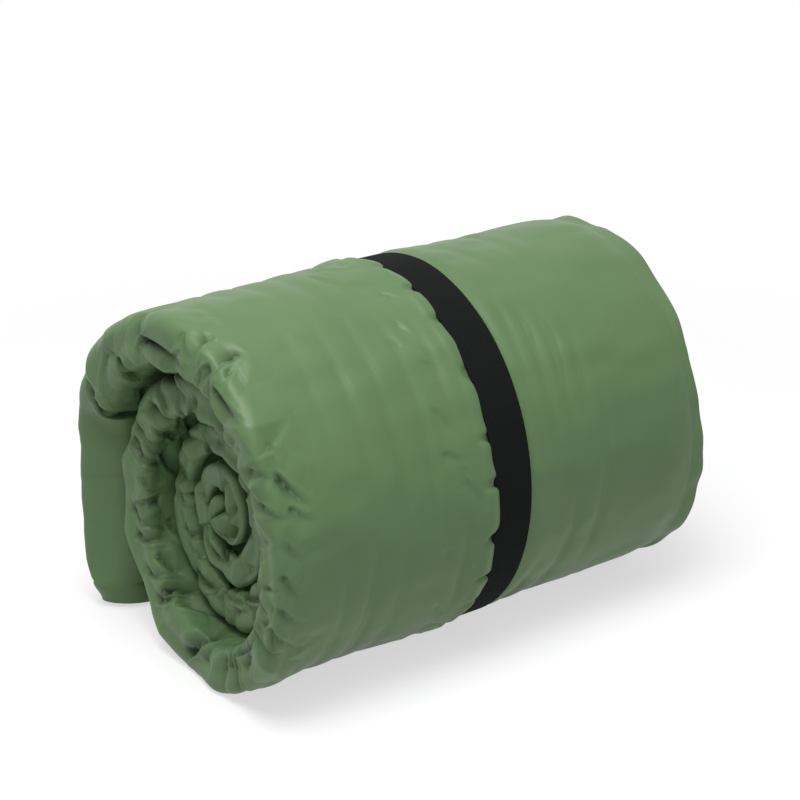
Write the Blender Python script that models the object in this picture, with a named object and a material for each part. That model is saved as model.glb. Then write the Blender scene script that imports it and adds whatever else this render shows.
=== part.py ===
"""Self-inflating sleeping mat, rolled up: folded in half lengthways, wound from its core outwards with
the outer end left hanging as a flap, and held by one elastic strap.

+X runs along the roll's axis from the folded end to the open edges, +Y towards the hanging flap,
+Z up. The origin is on the ground under the middle of the whole roll.
"""

import math
from collections import namedtuple

import bmesh
import bpy
from mathutils import Matrix, Vector
from mathutils.geometry import convex_hull_2d

for old in list(bpy.data.objects):
    bpy.data.objects.remove(old, do_unlink=True)

# The mat laid flat, in metres.
MAT_WIDTH = 0.620
EDGE_WELD = 0.010
END_WELD = 0.015
EDGE_TAPER = 0.006
PLY_LOFT = 0.0158
FABRIC = 0.0005
LAYER_GAP = 0.0003

# The winding: the centreline of the folded band runs in from OUTER_RADIUS to CORE_RADIUS.
OUTER_RADIUS = 0.1135
CORE_RADIUS = 0.0125
OUTER_PITCH = 0.0400
CORE_PITCH = 0.0175
ROLL_SQUEEZE = 0.92
CORE_Y = -0.0120
OUTER_TURN_SHIFT = 0.0120
SHIFT_FADE_TURNS = 0.5
AXIS_HEIGHT = 0.0985
TURN_GAP = 0.0025
FOLD_GAP = 0.0010
STATIONS_PER_TURN = (20, 16, 14, 12)

# The folded end: each turn is tucked deeper than the one outside it, and the first part of the
# outermost turn is drawn in over the second one.
NEAR_END = -0.1570
FUNNEL_DEPTH = 0.0280
FUNNEL_TURNS = 2.2
NEAR_TUCK = 0.0050
TUCK_FADE_TURNS = 0.3
PUCKER = 0.0020
NOSE_STEPS = 4

# The flap: the last stretch of the mat hangs from a crease to just above the ground, and from the
# strap to the open edges its lower part is drawn in towards the roll.
CREASE_TURN = 0.050
HEM_CLEARANCE = 0.0020
FLAP_BEND_HEIGHT = 0.0640
FLAP_TUCK_DEGREES = 18.0
FLAP_LEAN = 0.0120
HEM_SPREAD = 0.0420

# The strap: flat woven elastic, sewn into a loop.
STRAP_CENTRE = 0.0065
STRAP_WIDTH = 0.0270
STRAP_THICKNESS = 0.0017
STRAP_CLEARANCE = 0.0003
STRAP_SHOULDER = 0.0200
PRESS_FADE_TURNS = 0.1
SHORTEST_STRAP_SIDE = 0.0010
JOIN_LENGTH = 0.0400
JOIN_INSET = 0.0001
THREAD_MARGIN = 0.0030
THREAD_RADIUS = 0.0004
THREAD_ZIGZAGS = 7

# The twist valve, welded between the two sheets at one corner of the outer end.
VALVE_HEIGHT = 0.0450
BOAT_HALF_WIDTH = 0.0120
BOAT_HALF_HEIGHT = 0.0065
BOAT_OVERLAP = 0.0020
BORE_RADIUS = 0.0036
MOUTH_RADIUS = 0.0042
STEM_RADIUS = 0.0051
STEM_LENGTH = 0.0130
COLLAR_RADIUS = 0.0066
COLLAR_LENGTH = 0.0025
VALVE_CLEARANCE = 0.0003
VALVE_LIFT = 0.0040
CAP_WALL = 0.0012
CAP_RIB = 0.0005
PIN_RADIUS = 0.0014
PIN_HEAD_RADIUS = 0.0026
PIN_HEAD_LENGTH = 0.0010
STOPPER_FLANGE = 0.0010
O_RING_SECTION = 0.0007
O_RING_SIDES = 8
TURNED_SIDES = 24
CUT_PAST = 0.0010

Finish = namedtuple("Finish", "colour roughness metallic")
MAT_FABRIC = Finish((0.110, 0.190, 0.105), 0.55, 0.0)
FOAM = Finish((0.740, 0.690, 0.560), 0.95, 0.0)
ELASTIC = Finish((0.012, 0.013, 0.013), 0.80, 0.0)
VALVE_PLASTIC = Finish((0.018, 0.018, 0.019), 0.40, 0.0)
SEAL_RUBBER = Finish((0.030, 0.030, 0.032), 0.60, 0.0)
THREAD = Finish((0.020, 0.022, 0.021), 0.70, 0.0)


def material(name, finish):
    made = bpy.data.materials.new(name)
    made.use_nodes = True
    shader = made.node_tree.nodes["Principled BSDF"]
    shader.inputs["Base Color"].default_value = (*finish.colour, 1.0)
    shader.inputs["Roughness"].default_value = finish.roughness
    shader.inputs["Metallic"].default_value = finish.metallic
    return made


def add_object(name, mesh, finish, smooth_angle=40):
    obj = bpy.data.objects.new(name, mesh)
    mesh.materials.append(material(name, finish))
    mesh.shade_smooth()
    mesh.set_sharp_from_angle(angle=math.radians(smooth_angle))
    bpy.context.scene.collection.objects.link(obj)
    obj.parent = roll_frame
    return obj


def mesh_of(name, bm):
    """The finished mesh of a bmesh, with its faces turned outwards."""
    bmesh.ops.recalc_face_normals(bm, faces=bm.faces)
    mesh = bpy.data.meshes.new(name)
    bm.to_mesh(mesh)
    bm.free()
    return mesh


def blend(low, high, share):
    return low + (high - low) * share


def smooth_step(share):
    share = min(max(share, 0.0), 1.0)
    return share * share * (3.0 - 2.0 * share)


# The winding's centreline, in the plane across the roll: Vector((y, z)). A turn number counts
# turns from where the flap leaves the roll, at its +Y side, over the top and inwards.
TIGHTENING = (OUTER_PITCH - CORE_PITCH) / (OUTER_RADIUS - CORE_RADIUS)
LIMIT_RADIUS = CORE_RADIUS - CORE_PITCH / TIGHTENING
CORE_TURN = math.log((OUTER_RADIUS - LIMIT_RADIUS) / (CORE_RADIUS - LIMIT_RADIUS)) / TIGHTENING


def outward(turn):
    return Vector((math.cos(math.tau * turn), math.sin(math.tau * turn)))


def winding_point(turn):
    radius = LIMIT_RADIUS + (OUTER_RADIUS - LIMIT_RADIUS) * math.exp(-TIGHTENING * turn)
    centre_y = CORE_Y + OUTER_TURN_SHIFT * math.exp(-turn / SHIFT_FADE_TURNS)
    out = outward(turn)
    return Vector((centre_y + ROLL_SQUEEZE * radius * out.x, AXIS_HEIGHT + radius * out.y))


def band_thickness(turn):
    """Both plies together: at full loft where there is room, squeezed where the next turn is near."""
    room = (winding_point(turn) - winding_point(turn + 1.0)).dot(outward(turn)) - TURN_GAP
    return min(2.0 * PLY_LOFT, room)


# One cut across the roll's winding. near and far are the band's centreline at the folded end and from
# the strap to the open edges, with the outward direction at each.
Station = namedtuple(
    "Station", "near far near_out far_out thickness spread full nose_x lean floor_press strap_press bulge"
)


def nose_depth(turn):
    return NEAR_END + FUNNEL_DEPTH * smooth_step(turn / FUNNEL_TURNS)


def winding_station(turn, index, full=1.0):
    point, out, thickness = winding_point(turn), outward(turn), band_thickness(turn)
    # The lowest facet lies level on the ground, and its neighbours are pressed up where they'd reach it.
    floor_press = (point.y + thickness / 2.0 * out.y) / out.y
    if abs(turn - 0.75) > 1.0 / STATIONS_PER_TURN[0]:
        floor_press = max(0.0, floor_press) if out.y < -0.5 else 0.0
    strap_press = STRAP_CLEARANCE + STRAP_THICKNESS
    strap_press *= smooth_step((1.0 - turn) / PRESS_FADE_TURNS)
    nose_x = nose_depth(turn) + PUCKER * (index % 2)
    near = point - out * NEAR_TUCK * (1.0 - smooth_step(turn / TUCK_FADE_TURNS))
    return Station(
        near, point, out, out, thickness, thickness, full, nose_x, 0.0, floor_press, strap_press, 0.0
    )


def flap_station(height, full=1.0, spread=None, bulge=0.0):
    """A station of the flap, height above the hem's edge measured along the band."""
    crease = winding_point(CREASE_TURN)
    tucked_in = NEAR_TUCK * smooth_step((height - FLAP_BEND_HEIGHT) / (crease.y - FLAP_BEND_HEIGHT))
    near = Vector((crease.x - tucked_in, HEM_CLEARANCE + height))
    bend = Vector((crease.x, HEM_CLEARANCE + FLAP_BEND_HEIGHT))
    tuck = math.radians(FLAP_TUCK_DEGREES)
    if height > FLAP_BEND_HEIGHT:
        far, far_angle = Vector((crease.x, near.y)), 0.0
    else:
        far = bend + Vector((-math.sin(tuck), -math.cos(tuck))) * (FLAP_BEND_HEIGHT - height)
        far_angle = tuck if height < FLAP_BEND_HEIGHT else tuck / 2.0
    thickness = band_thickness(CREASE_TURN)
    return Station(
        near,
        far,
        Vector((1.0, 0.0)),
        Vector((math.cos(far_angle), -math.sin(far_angle))),
        thickness,
        thickness if spread is None else spread,
        full,
        NEAR_END + FLAP_LEAN,
        FLAP_LEAN,
        0.0,
        STRAP_CLEARANCE + STRAP_THICKNESS,
        bulge,
    )


def flap_stations():
    """The flap's cuts, from its hem up to the crease."""
    valve_reach = BOAT_HALF_WIDTH + VALVE_CLEARANCE * 3.0
    shoulder = END_WELD + EDGE_TAPER
    top = winding_point(CREASE_TURN).y - HEM_CLEARANCE
    squeeze = 1.0 - (STRAP_CLEARANCE + STRAP_THICKNESS) / band_thickness(CREASE_TURN)
    return [
        flap_station(0.0, 0.0, HEM_SPREAD),
        flap_station(END_WELD, 0.0, HEM_SPREAD),
        flap_station(shoulder),
        flap_station(VALVE_HEIGHT - valve_reach),
        flap_station(VALVE_HEIGHT, bulge=(BOAT_HALF_HEIGHT + LAYER_GAP) / squeeze),
        flap_station(VALVE_HEIGHT + valve_reach),
        flap_station(FLAP_BEND_HEIGHT),
        flap_station(blend(FLAP_BEND_HEIGHT, top, 2.0 / 3.0)),
    ]


def winding_stations():
    """The winding's cuts, from the crease to the core."""
    weld_turns = END_WELD / (math.tau * CORE_RADIUS)
    taper_turns = EDGE_TAPER / (math.tau * CORE_RADIUS)
    last_full = CORE_TURN - weld_turns - taper_turns
    turns = [CREASE_TURN]
    while turns[-1] < last_full:
        # Half a step off the quarter turns, so that the roll stands on a flat side.
        per_turn = STATIONS_PER_TURN[min(int(turns[-1]), len(STATIONS_PER_TURN) - 1)]
        turns.append((math.floor(turns[-1] * per_turn + 0.6) + 0.5) / per_turn)
    turns[-1] = last_full
    made = [winding_station(turn, index) for index, turn in enumerate(turns)]
    made.append(winding_station(CORE_TURN - weld_turns, len(turns), full=0.0))
    made.append(winding_station(CORE_TURN, len(turns), full=0.0))
    return made


FLAP = flap_stations()
WINDING = winding_stations()
STATIONS = FLAP + WINDING

# A point of the path that the middle of one ply follows, seen along the winding: x, its offset from
# the band's centreline, its normal there, the ply's half thickness, and how far it is under the strap.
PathPoint = namedtuple("PathPoint", "x offset normal_x normal_out half tucked pressed")
WELD_EDGE, WELD_ROOT, AT_STRAP = 0, 1, 3


def fold_path(station):
    """From the outer ply's welded edge, round the fold at the near end, to the inner ply's edge."""
    middle = station.spread / 4.0 + FOLD_GAP / 4.0
    half = station.full * (station.thickness / 4.0 - FOLD_GAP / 4.0 - LAYER_GAP / 2.0 - FABRIC)
    fold_x = station.nose_x + middle + half + LAYER_GAP / 2.0 + FABRIC
    root = fold_x + MAT_WIDTH / 2.0 - EDGE_WELD - math.pi / 2.0 * middle
    edge, shoulder = root + EDGE_WELD, root - EDGE_TAPER
    strap_edge = STRAP_CENTRE - STRAP_WIDTH / 2.0
    ramp = strap_edge - STRAP_SHOULDER
    tucked_at_ramp = (ramp - fold_x) / (strap_edge - fold_x)
    outer = [
        PathPoint(edge, middle, 0.0, 1.0, station.bulge, 1.0, 1.0),
        PathPoint(root, middle, 0.0, 1.0, station.bulge, 1.0, 1.0),
        PathPoint(shoulder, middle, 0.0, 1.0, half, 1.0, 1.0),
        PathPoint(strap_edge, middle, 0.0, 1.0, half, 1.0, 1.0),
        PathPoint(ramp, middle, 0.0, 1.0, half, tucked_at_ramp, 0.0),
    ]
    nose = []
    for step in range(NOSE_STEPS + 1):
        angle = math.pi * step / NOSE_STEPS
        out, back = math.cos(angle), math.sin(angle)
        nose.append(PathPoint(fold_x - middle * back, middle * out, -back, out, half, 0.0, 0.0))
    inner = [
        PathPoint(p.x, -p.offset, p.normal_x, -p.normal_out, p.half, p.tucked, p.pressed)
        for p in reversed(outer)
    ]
    inner[-2:] = [p._replace(half=0.0) for p in inner[-2:]]
    return outer + nose + inner


def place(station, point, distance):
    """The position in space of a path point moved by distance along its normal."""
    x = point.x + distance * point.normal_x
    offset = point.offset + distance * point.normal_out
    x -= station.lean * (1.0 - point.tucked) * 2.0 * offset / station.thickness
    press = station.floor_press + station.strap_press * point.pressed
    inside = -station.thickness / 2.0
    offset = inside + (offset - inside) * (1.0 - press / station.thickness)
    centre = station.near.lerp(station.far, point.tucked)
    out = station.near_out.lerp(station.far_out, point.tucked).normalized()
    across = centre + out * offset
    return Vector((x, across.x, across.y))


def sheet_surface(station, side, depth):
    """A row of points: side is 1 towards the outside of the fold, and depth is from the foam's face."""
    return [place(station, p, side * (p.half + depth)) for p in fold_path(station)]


def skin_between(name, rows_a, rows_b):
    """A closed solid between two grids of points that face each other, in triangles."""
    bm = bmesh.new()
    grids = [[[bm.verts.new(p) for p in row] for row in rows] for rows in (rows_a, rows_b)]
    count, width = len(rows_a), len(rows_a[0])
    for grid in grids:
        for i in range(count - 1):
            for j in range(width - 1):
                a, b, c, d = grid[i][j], grid[i][j + 1], grid[i + 1][j + 1], grid[i + 1][j]
                # The two plies are split along diagonals that lie over each other.
                halves = ((a, b, c), (a, c, d)) if j < (width - 1) // 2 else ((a, b, d), (b, c, d))
                for corners in halves:
                    bm.faces.new(corners)
    rim = [(0, j) for j in range(width)]
    rim += [(i, width - 1) for i in range(1, count)]
    rim += [(count - 1, j) for j in range(width - 2, -1, -1)]
    rim += [(i, 0) for i in range(count - 2, 0, -1)]
    for (i, j), (k, m) in zip(rim, rim[1:] + rim[:1]):
        bm.faces.new((grids[0][i][j], grids[0][k][m], grids[1][k][m], grids[1][i][j]))
    bmesh.ops.recalc_face_normals(bm, faces=bm.faces)
    bmesh.ops.dissolve_limit(bm, angle_limit=math.radians(0.05), verts=bm.verts, edges=bm.edges)
    return mesh_of(name, bm)


def covers_and_foam():
    near_foam = LAYER_GAP / 2.0
    outer_face = [sheet_surface(s, 1.0, near_foam + FABRIC) for s in STATIONS]
    outer_back = [sheet_surface(s, 1.0, near_foam) for s in STATIONS]
    inner_face = [sheet_surface(s, -1.0, near_foam + FABRIC) for s in STATIONS]
    inner_back = [sheet_surface(s, -1.0, near_foam) for s in STATIONS]
    stuffed = [s for s in STATIONS if s.full > 0.0]
    inside_welds = slice(WELD_ROOT + 1, -WELD_ROOT - 1)
    foam_rows = [
        [sheet_surface(s, side, -near_foam)[inside_welds] for s in stuffed] for side in (1.0, -1.0)
    ]
    add_object("outer_cover", skin_between("outer_cover", outer_face, outer_back), MAT_FABRIC, 60)
    add_object("inner_cover", skin_between("inner_cover", inner_face, inner_back), MAT_FABRIC, 60)
    add_object("foam_core", skin_between("foam_core", *foam_rows), FOAM, 60)
    print_least_gap(outer_face)


def print_least_gap(rows):
    """The least distance between the outer fabric of one turn and that of the next, on points."""
    samples = []
    for index in range(len(rows) - 1):
        for a, b in zip(rows[index], rows[index + 1]):
            samples += [(index + share, blend(a, b, share)) for share in (0.0, 0.25, 0.5, 0.75)]
    apart = min(STATIONS_PER_TURN) // 2
    least = min(
        (p - q).length for k, (i, p) in enumerate(samples) for j, q in samples[k:] if j - i > apart
    )
    print(f"least gap between turns: {least * 1000:.2f} mm")


def offset_outline(outline, distance):
    """A convex outline, anticlockwise, with every side moved out by distance."""
    moved = []
    for before, here, after in zip(outline[-1:] + outline[:-1], outline, outline[1:] + outline[:1]):
        first = (here - before).normalized()
        second = (after - here).normalized()
        normal_a, normal_b = Vector((first.y, -first.x)), Vector((second.y, -second.x))
        moved.append(here + (normal_a + normal_b) * distance / (1.0 + normal_a.dot(normal_b)))
    return moved


def strap_outline():
    """The outline, seen along X, that a taut strap takes round the roll and its tucked flap."""
    points = []
    for station in STATIONS:
        pressed = fold_path(station)[AT_STRAP]
        face = place(station, pressed, pressed.half + LAYER_GAP / 2.0 + FABRIC)
        points.append(Vector((face.y, face.z)))
    hull = [points[i] for i in convex_hull_2d(points)]
    sides = zip(hull, hull[1:] + hull[:1])
    spaced = [p for p, q in sides if (p - q).length > SHORTEST_STRAP_SIDE]
    turned = sum(p.x * q.y - q.x * p.y for p, q in zip(spaced, spaced[1:] + spaced[:1]))
    return spaced if turned > 0.0 else spaced[::-1]


def strap():
    """The elastic's loop with its overlapped join on the flap's back, and the join's stitching."""
    inner = offset_outline(strap_outline(), STRAP_CLEARANCE)
    outer = offset_outline(strap_outline(), STRAP_CLEARANCE + STRAP_THICKNESS)
    low, high = STRAP_CENTRE - STRAP_WIDTH / 2.0, STRAP_CENTRE + STRAP_WIDTH / 2.0
    bm = bmesh.new()
    rings = [
        [bm.verts.new((x, p.x, p.y)) for p in outline]
        for x, outline in ((low, inner), (low, outer), (high, outer), (high, inner))
    ]
    for ring, other in zip(rings, rings[1:] + rings[:1]):
        for k in range(len(ring)):
            m = (k + 1) % len(ring)
            bm.faces.new((ring[k], ring[m], other[m], other[k]))
    band = add_object("strap_band", mesh_of("strap_band", bm), ELASTIC)

    flap, crease = FLAP[-1], WINDING[0]
    out = Vector((0.0, *flap.far_out))
    surface = flap.thickness / 2.0 - flap.strap_press + STRAP_CLEARANCE + STRAP_THICKNESS
    middle = Vector((STRAP_CENTRE, *blend(FLAP[-2].far, crease.far, 0.5))) + out * surface
    frame = Matrix((Vector((1.0, 0.0, 0.0)), Vector((0.0, 0.0, 1.0)), out)).transposed().to_4x4()
    frame.translation = middle
    sunk = STRAP_THICKNESS / 4.0
    ply = bmesh.new()
    bmesh.ops.create_cube(ply, size=1.0)
    size = Vector((STRAP_WIDTH - 2.0 * JOIN_INSET, JOIN_LENGTH, STRAP_THICKNESS + sunk))
    bmesh.ops.scale(ply, vec=size, verts=ply.verts)
    bmesh.ops.translate(ply, vec=(0.0, 0.0, size.z / 2.0 - sunk), verts=ply.verts)
    bmesh.ops.transform(ply, matrix=frame, verts=ply.verts)
    overlap = add_object("strap_join", mesh_of("strap_join", ply), ELASTIC)
    hide_helper(overlap)
    boolean(band, overlap, "UNION")

    route = []
    half_x = STRAP_WIDTH / 2.0 - THREAD_MARGIN
    half_y = JOIN_LENGTH / 2.0 - THREAD_MARGIN
    for k in range(THREAD_ZIGZAGS + 1):
        route.append((half_x * (1 if k % 2 else -1), blend(-half_y, half_y, k / THREAD_ZIGZAGS)))
    height = STRAP_THICKNESS + STRAP_CLEARANCE + THREAD_RADIUS
    curve = bpy.data.curves.new("strap_stitching", "CURVE")
    curve.dimensions = "3D"
    curve.bevel_depth = THREAD_RADIUS
    curve.bevel_resolution = 1
    curve.use_fill_caps = True
    spline = curve.splines.new("POLY")
    spline.points.add(len(route) - 1)
    for point, (x, y) in zip(spline.points, route):
        point.co = (*(frame @ Vector((x, y, height))), 1.0)
    curve.materials.append(material("strap_stitching", THREAD))
    thread = bpy.data.objects.new("strap_stitching", curve)
    bpy.context.scene.collection.objects.link(thread)
    thread.parent = roll_frame


def hide_helper(obj):
    obj.hide_render = True
    obj.display_type = "WIRE"


def boolean(obj, tool, operation):
    cut = obj.modifiers.new(tool.name, "BOOLEAN")
    cut.object = tool
    cut.operation = operation


def turned(name, outline, ribs=0.0):
    """A solid turned about X from a closed outline of (x, radius). With ribs, the outermost radius
    is raised on every other side."""
    widest = max(radius for _, radius in outline)
    bm = bmesh.new()
    rings = []
    for x, radius in outline:
        ring = []
        for k in range(TURNED_SIDES):
            angle = math.tau * k / TURNED_SIDES
            grown = radius + (ribs * (k % 2) if radius == widest else 0.0)
            ring.append(bm.verts.new((x, grown * math.cos(angle), grown * math.sin(angle))))
        rings.append(ring)
    for ring, other in zip(rings, rings[1:] + rings[:1]):
        for k in range(TURNED_SIDES):
            m = (k + 1) % TURNED_SIDES
            bm.faces.new((ring[k], ring[m], other[m], other[k]))
    bmesh.ops.remove_doubles(bm, verts=bm.verts, dist=0.00001)
    bmesh.ops.dissolve_degenerate(bm, edges=bm.edges, dist=0.00001)
    return mesh_of(name, bm)


def valve():
    """The stem with its boat-shaped weld base, and the cap that screws out and lifts the plunger."""
    seat_station = next(station for station in FLAP if station.bulge)
    path = fold_path(seat_station)
    seat = place(seat_station, path[WELD_EDGE], 0.0)
    boat_start = path[WELD_ROOT].x - BOAT_OVERLAP - path[WELD_EDGE].x
    tilt = Vector((0.0, *seat_station.far_out)).angle(Vector((0.0, 1.0, 0.0)))

    bm = bmesh.new()
    section = [
        (0.0, BOAT_HALF_WIDTH), (BOAT_HALF_HEIGHT, 0.0), (0.0, -BOAT_HALF_WIDTH), (-BOAT_HALF_HEIGHT, 0.0)
    ]
    ends = [[bm.verts.new((x, y, z)) for y, z in section] for x in (boat_start, 0.0)]
    bm.faces.new(ends[0])
    bm.faces.new(ends[1])
    for k in range(4):
        m = (k + 1) % 4
        bm.faces.new((ends[0][k], ends[0][m], ends[1][m], ends[1][k]))
    bmesh.ops.rotate(bm, matrix=Matrix.Rotation(-tilt, 3, "X"), verts=bm.verts)
    body = add_object("valve_body", mesh_of("valve_body", bm), VALVE_PLASTIC)

    collar_end = VALVE_CLEARANCE + COLLAR_LENGTH
    rim = collar_end + STEM_LENGTH
    root_radius = blend(BORE_RADIUS, BOAT_HALF_HEIGHT, 0.3)
    stem_outline = [
        (boat_start / 2.0, 0.0), (boat_start / 2.0, root_radius), (VALVE_CLEARANCE, root_radius),
        (VALVE_CLEARANCE, COLLAR_RADIUS), (collar_end, COLLAR_RADIUS), (collar_end, STEM_RADIUS),
        (rim, STEM_RADIUS), (rim, 0.0),
    ]
    mouth = rim - VALVE_LIFT - 2.0 * O_RING_SECTION
    bore_start, bore_end = boat_start - CUT_PAST, rim + CUT_PAST
    bore_outline = [
        (bore_start, 0.0), (bore_start, BORE_RADIUS), (mouth, BORE_RADIUS),
        (mouth, MOUTH_RADIUS), (bore_end, MOUTH_RADIUS), (bore_end, 0.0),
    ]
    stem = add_object("valve_stem_shape", turned("valve_stem_shape", stem_outline), VALVE_PLASTIC)
    bore = add_object("valve_bore_shape", turned("valve_bore_shape", bore_outline), VALVE_PLASTIC)
    for helper, operation in ((stem, "UNION"), (bore, "DIFFERENCE")):
        hide_helper(helper)
        boolean(body, helper, operation)

    cap_bore = STEM_RADIUS + VALVE_CLEARANCE
    cap_start = collar_end + VALVE_CLEARANCE
    roof = rim + VALVE_CLEARANCE
    cap_end = roof + CAP_WALL
    pin_hole = PIN_RADIUS + VALVE_CLEARANCE
    cap_outline = [
        (cap_start, cap_bore), (cap_start, cap_bore + CAP_WALL), (cap_end, cap_bore + CAP_WALL),
        (cap_end, pin_hole), (roof, pin_hole), (roof, cap_bore),
    ]
    cap = add_object("valve_cap", turned("valve_cap", cap_outline, CAP_RIB), VALVE_PLASTIC, 30)

    ring_x = mouth - 2.0 * O_RING_SECTION
    ring_radius = BORE_RADIUS - VALVE_CLEARANCE - O_RING_SECTION
    groove = ring_radius - O_RING_SECTION - VALVE_CLEARANCE
    head = BORE_RADIUS - 2.0 * VALVE_CLEARANCE
    half_groove = O_RING_SECTION + VALVE_CLEARANCE
    head_end = ring_x + half_groove + STOPPER_FLANGE
    cap_grip = roof - VALVE_CLEARANCE
    outer_grip = cap_end + VALVE_CLEARANCE
    plunger_outline = [
        (ring_x - half_groove - STOPPER_FLANGE, 0.0), (ring_x - half_groove - STOPPER_FLANGE, head),
        (ring_x - half_groove, head), (ring_x - half_groove, groove), (ring_x + half_groove, groove),
        (ring_x + half_groove, head), (head_end, head), (head_end, PIN_RADIUS),
        (cap_grip - STOPPER_FLANGE, PIN_RADIUS), (cap_grip - STOPPER_FLANGE, PIN_HEAD_RADIUS),
        (cap_grip, PIN_HEAD_RADIUS), (cap_grip, PIN_RADIUS), (outer_grip, PIN_RADIUS),
        (outer_grip, PIN_HEAD_RADIUS), (outer_grip + PIN_HEAD_LENGTH, PIN_HEAD_RADIUS),
        (outer_grip + PIN_HEAD_LENGTH, 0.0),
    ]
    plunger = add_object("valve_plunger", turned("valve_plunger", plunger_outline), VALVE_PLASTIC)
    section = [
        (ring_x + O_RING_SECTION * math.cos(a), ring_radius + O_RING_SECTION * math.sin(a))
        for a in (math.tau * k / O_RING_SIDES for k in range(O_RING_SIDES))
    ]
    ring = add_object("valve_o_ring", turned("valve_o_ring", section), SEAL_RUBBER)
    for piece in (body, stem, bore, cap, plunger, ring):
        piece.location = seat
    return seat, seat.x + outer_grip + PIN_HEAD_LENGTH


def centre_on_footprint():
    """Moves the whole roll so that its origin lies on the ground under its middle."""
    bpy.context.view_layer.update()
    corners = [
        obj.matrix_world @ Vector(corner)
        for obj in bpy.data.objects
        if obj.type != "EMPTY" and not obj.hide_render
        for corner in obj.bound_box
    ]
    low = [min(c[axis] for c in corners) for axis in range(3)]
    high = [max(c[axis] for c in corners) for axis in range(3)]
    roll_frame.location = (-(low[0] + high[0]) / 2.0, -(low[1] + high[1]) / 2.0, -low[2])
    bpy.context.view_layer.update()
    size = " x ".join(f"{(b - a) * 1000:.1f}" for a, b in zip(low, high))
    print(f"overall size: {size} mm, moved by {[round(v, 6) for v in roll_frame.location]}")


roll_frame = bpy.data.objects.new("roll_frame", None)
bpy.context.scene.collection.objects.link(roll_frame)
covers_and_foam()
strap()
valve_seat, valve_end = valve()
centre_on_footprint()
print(f"valve axis starts at {[round(v, 6) for v in valve_seat + roll_frame.location]}")
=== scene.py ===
"""A self-inflating sleeping mat, folded in half lengthways, rolled up and held by an elastic strap.

The mat is drawn as its two welded fabric sheets over the foam, laid along the same winding as the
solids. Metres throughout. +X runs from the folded end to the open edges, +Y towards the flap.
"""

import math

import bmesh
import bpy
import numpy as np
from mathutils import Matrix, Vector
from mathutils.geometry import delaunay_2d_cdt


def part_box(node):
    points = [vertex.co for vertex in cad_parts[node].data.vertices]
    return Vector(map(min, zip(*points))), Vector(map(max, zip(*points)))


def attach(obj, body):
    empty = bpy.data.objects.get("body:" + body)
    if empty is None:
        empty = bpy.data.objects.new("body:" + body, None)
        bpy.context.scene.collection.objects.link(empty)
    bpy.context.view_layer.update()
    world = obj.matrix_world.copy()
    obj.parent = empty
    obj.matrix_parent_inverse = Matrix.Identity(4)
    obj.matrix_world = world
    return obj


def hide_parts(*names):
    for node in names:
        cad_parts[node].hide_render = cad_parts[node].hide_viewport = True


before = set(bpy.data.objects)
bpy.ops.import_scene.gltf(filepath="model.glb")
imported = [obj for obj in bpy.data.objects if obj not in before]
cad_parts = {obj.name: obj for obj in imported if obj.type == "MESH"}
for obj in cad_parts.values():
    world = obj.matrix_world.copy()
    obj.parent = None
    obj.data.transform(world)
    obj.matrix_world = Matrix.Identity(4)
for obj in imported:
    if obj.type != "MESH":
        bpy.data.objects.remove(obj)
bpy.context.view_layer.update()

# The mat. Two sheets of coated polyester are bonded to a slab of foam 25 mm thick and welded to each
# other all round. It is folded in half lengthways, so its near end is one long fold, and rolled up
# from its core. The last stretch hangs down as a flap behind the roll.
MAT_WIDTH = 0.620
EDGE_WELD = 0.010
END_WELD = 0.015
CORE_ROUNDING = 0.0090
EDGE_ROUNDING = 0.013
EDGE_LIFT = 0.75
PLY_LOFT = 0.0158
SHEET = 0.0005
LAYER_GAP = 0.0003
FOLD_GAP = 0.0010
OUTER_RADIUS = 0.1135
CORE_RADIUS = 0.0125
OUTER_PITCH = 0.0400
CORE_PITCH = 0.0175
# The band's soft end curls on into the eye of the roll, further than the solids go.
CORE_TUCKED_TURN = 0.65
ROLL_SQUEEZE = 0.92
CORE_Y = -0.0120
OUTER_TURN_SHIFT = 0.0120
SHIFT_FADE_TURNS = 0.5
AXIS_HEIGHT = 0.0985
TURN_GAP = 0.0025
NEAR_END = -0.1570
FUNNEL_DEPTH = 0.0280
FUNNEL_TURNS = 2.2
NEAR_TUCK = 0.0050
TUCK_FADE_TURNS = 0.3
CREASE_TURN = 0.050
HEM_CLEARANCE = 0.0020
FLAP_BEND_HEIGHT = 0.0640
FLAP_TUCK_DEGREES = 18.0
FLAP_LEAN = 0.0120
HEM_SPREAD = 0.0420
# Where the solids' own frame puts the winding's axes.
ROLL_SHIFT = np.array((-0.01482, -0.004694, 0.000025))
# The band is cut across every STATION metres, and each piece of the mesh takes as many as it needs.
STATION = 0.0006

tightening = (OUTER_PITCH - CORE_PITCH) / (OUTER_RADIUS - CORE_RADIUS)
limit_radius = CORE_RADIUS - CORE_PITCH / tightening
radius_ratio = (OUTER_RADIUS - limit_radius) / (CORE_RADIUS - limit_radius)
core_turn = math.log(radius_ratio) / tightening + CORE_TUCKED_TURN


def smooth_step(share):
    share = np.clip(share, 0.0, 1.0)
    return share * share * (3.0 - 2.0 * share)


def winding_point(turn):
    """The band's centreline in the plane across the roll, as (y, z), and the outward direction."""
    radius = limit_radius + (OUTER_RADIUS - limit_radius) * np.exp(-tightening * turn)
    centre_y = CORE_Y + OUTER_TURN_SHIFT * np.exp(-turn / SHIFT_FADE_TURNS)
    out = np.stack((np.cos(math.tau * turn), np.sin(math.tau * turn)), -1)
    y, z = centre_y + ROLL_SQUEEZE * radius * out[..., 0], AXIS_HEIGHT + radius * out[..., 1]
    return np.stack((y, z), -1), out


def band_thickness(turn):
    here, out = winding_point(turn)
    room = ((here - winding_point(turn + 1.0)[0]) * out).sum(-1) - TURN_GAP
    return np.minimum(2.0 * PLY_LOFT, room)


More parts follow.
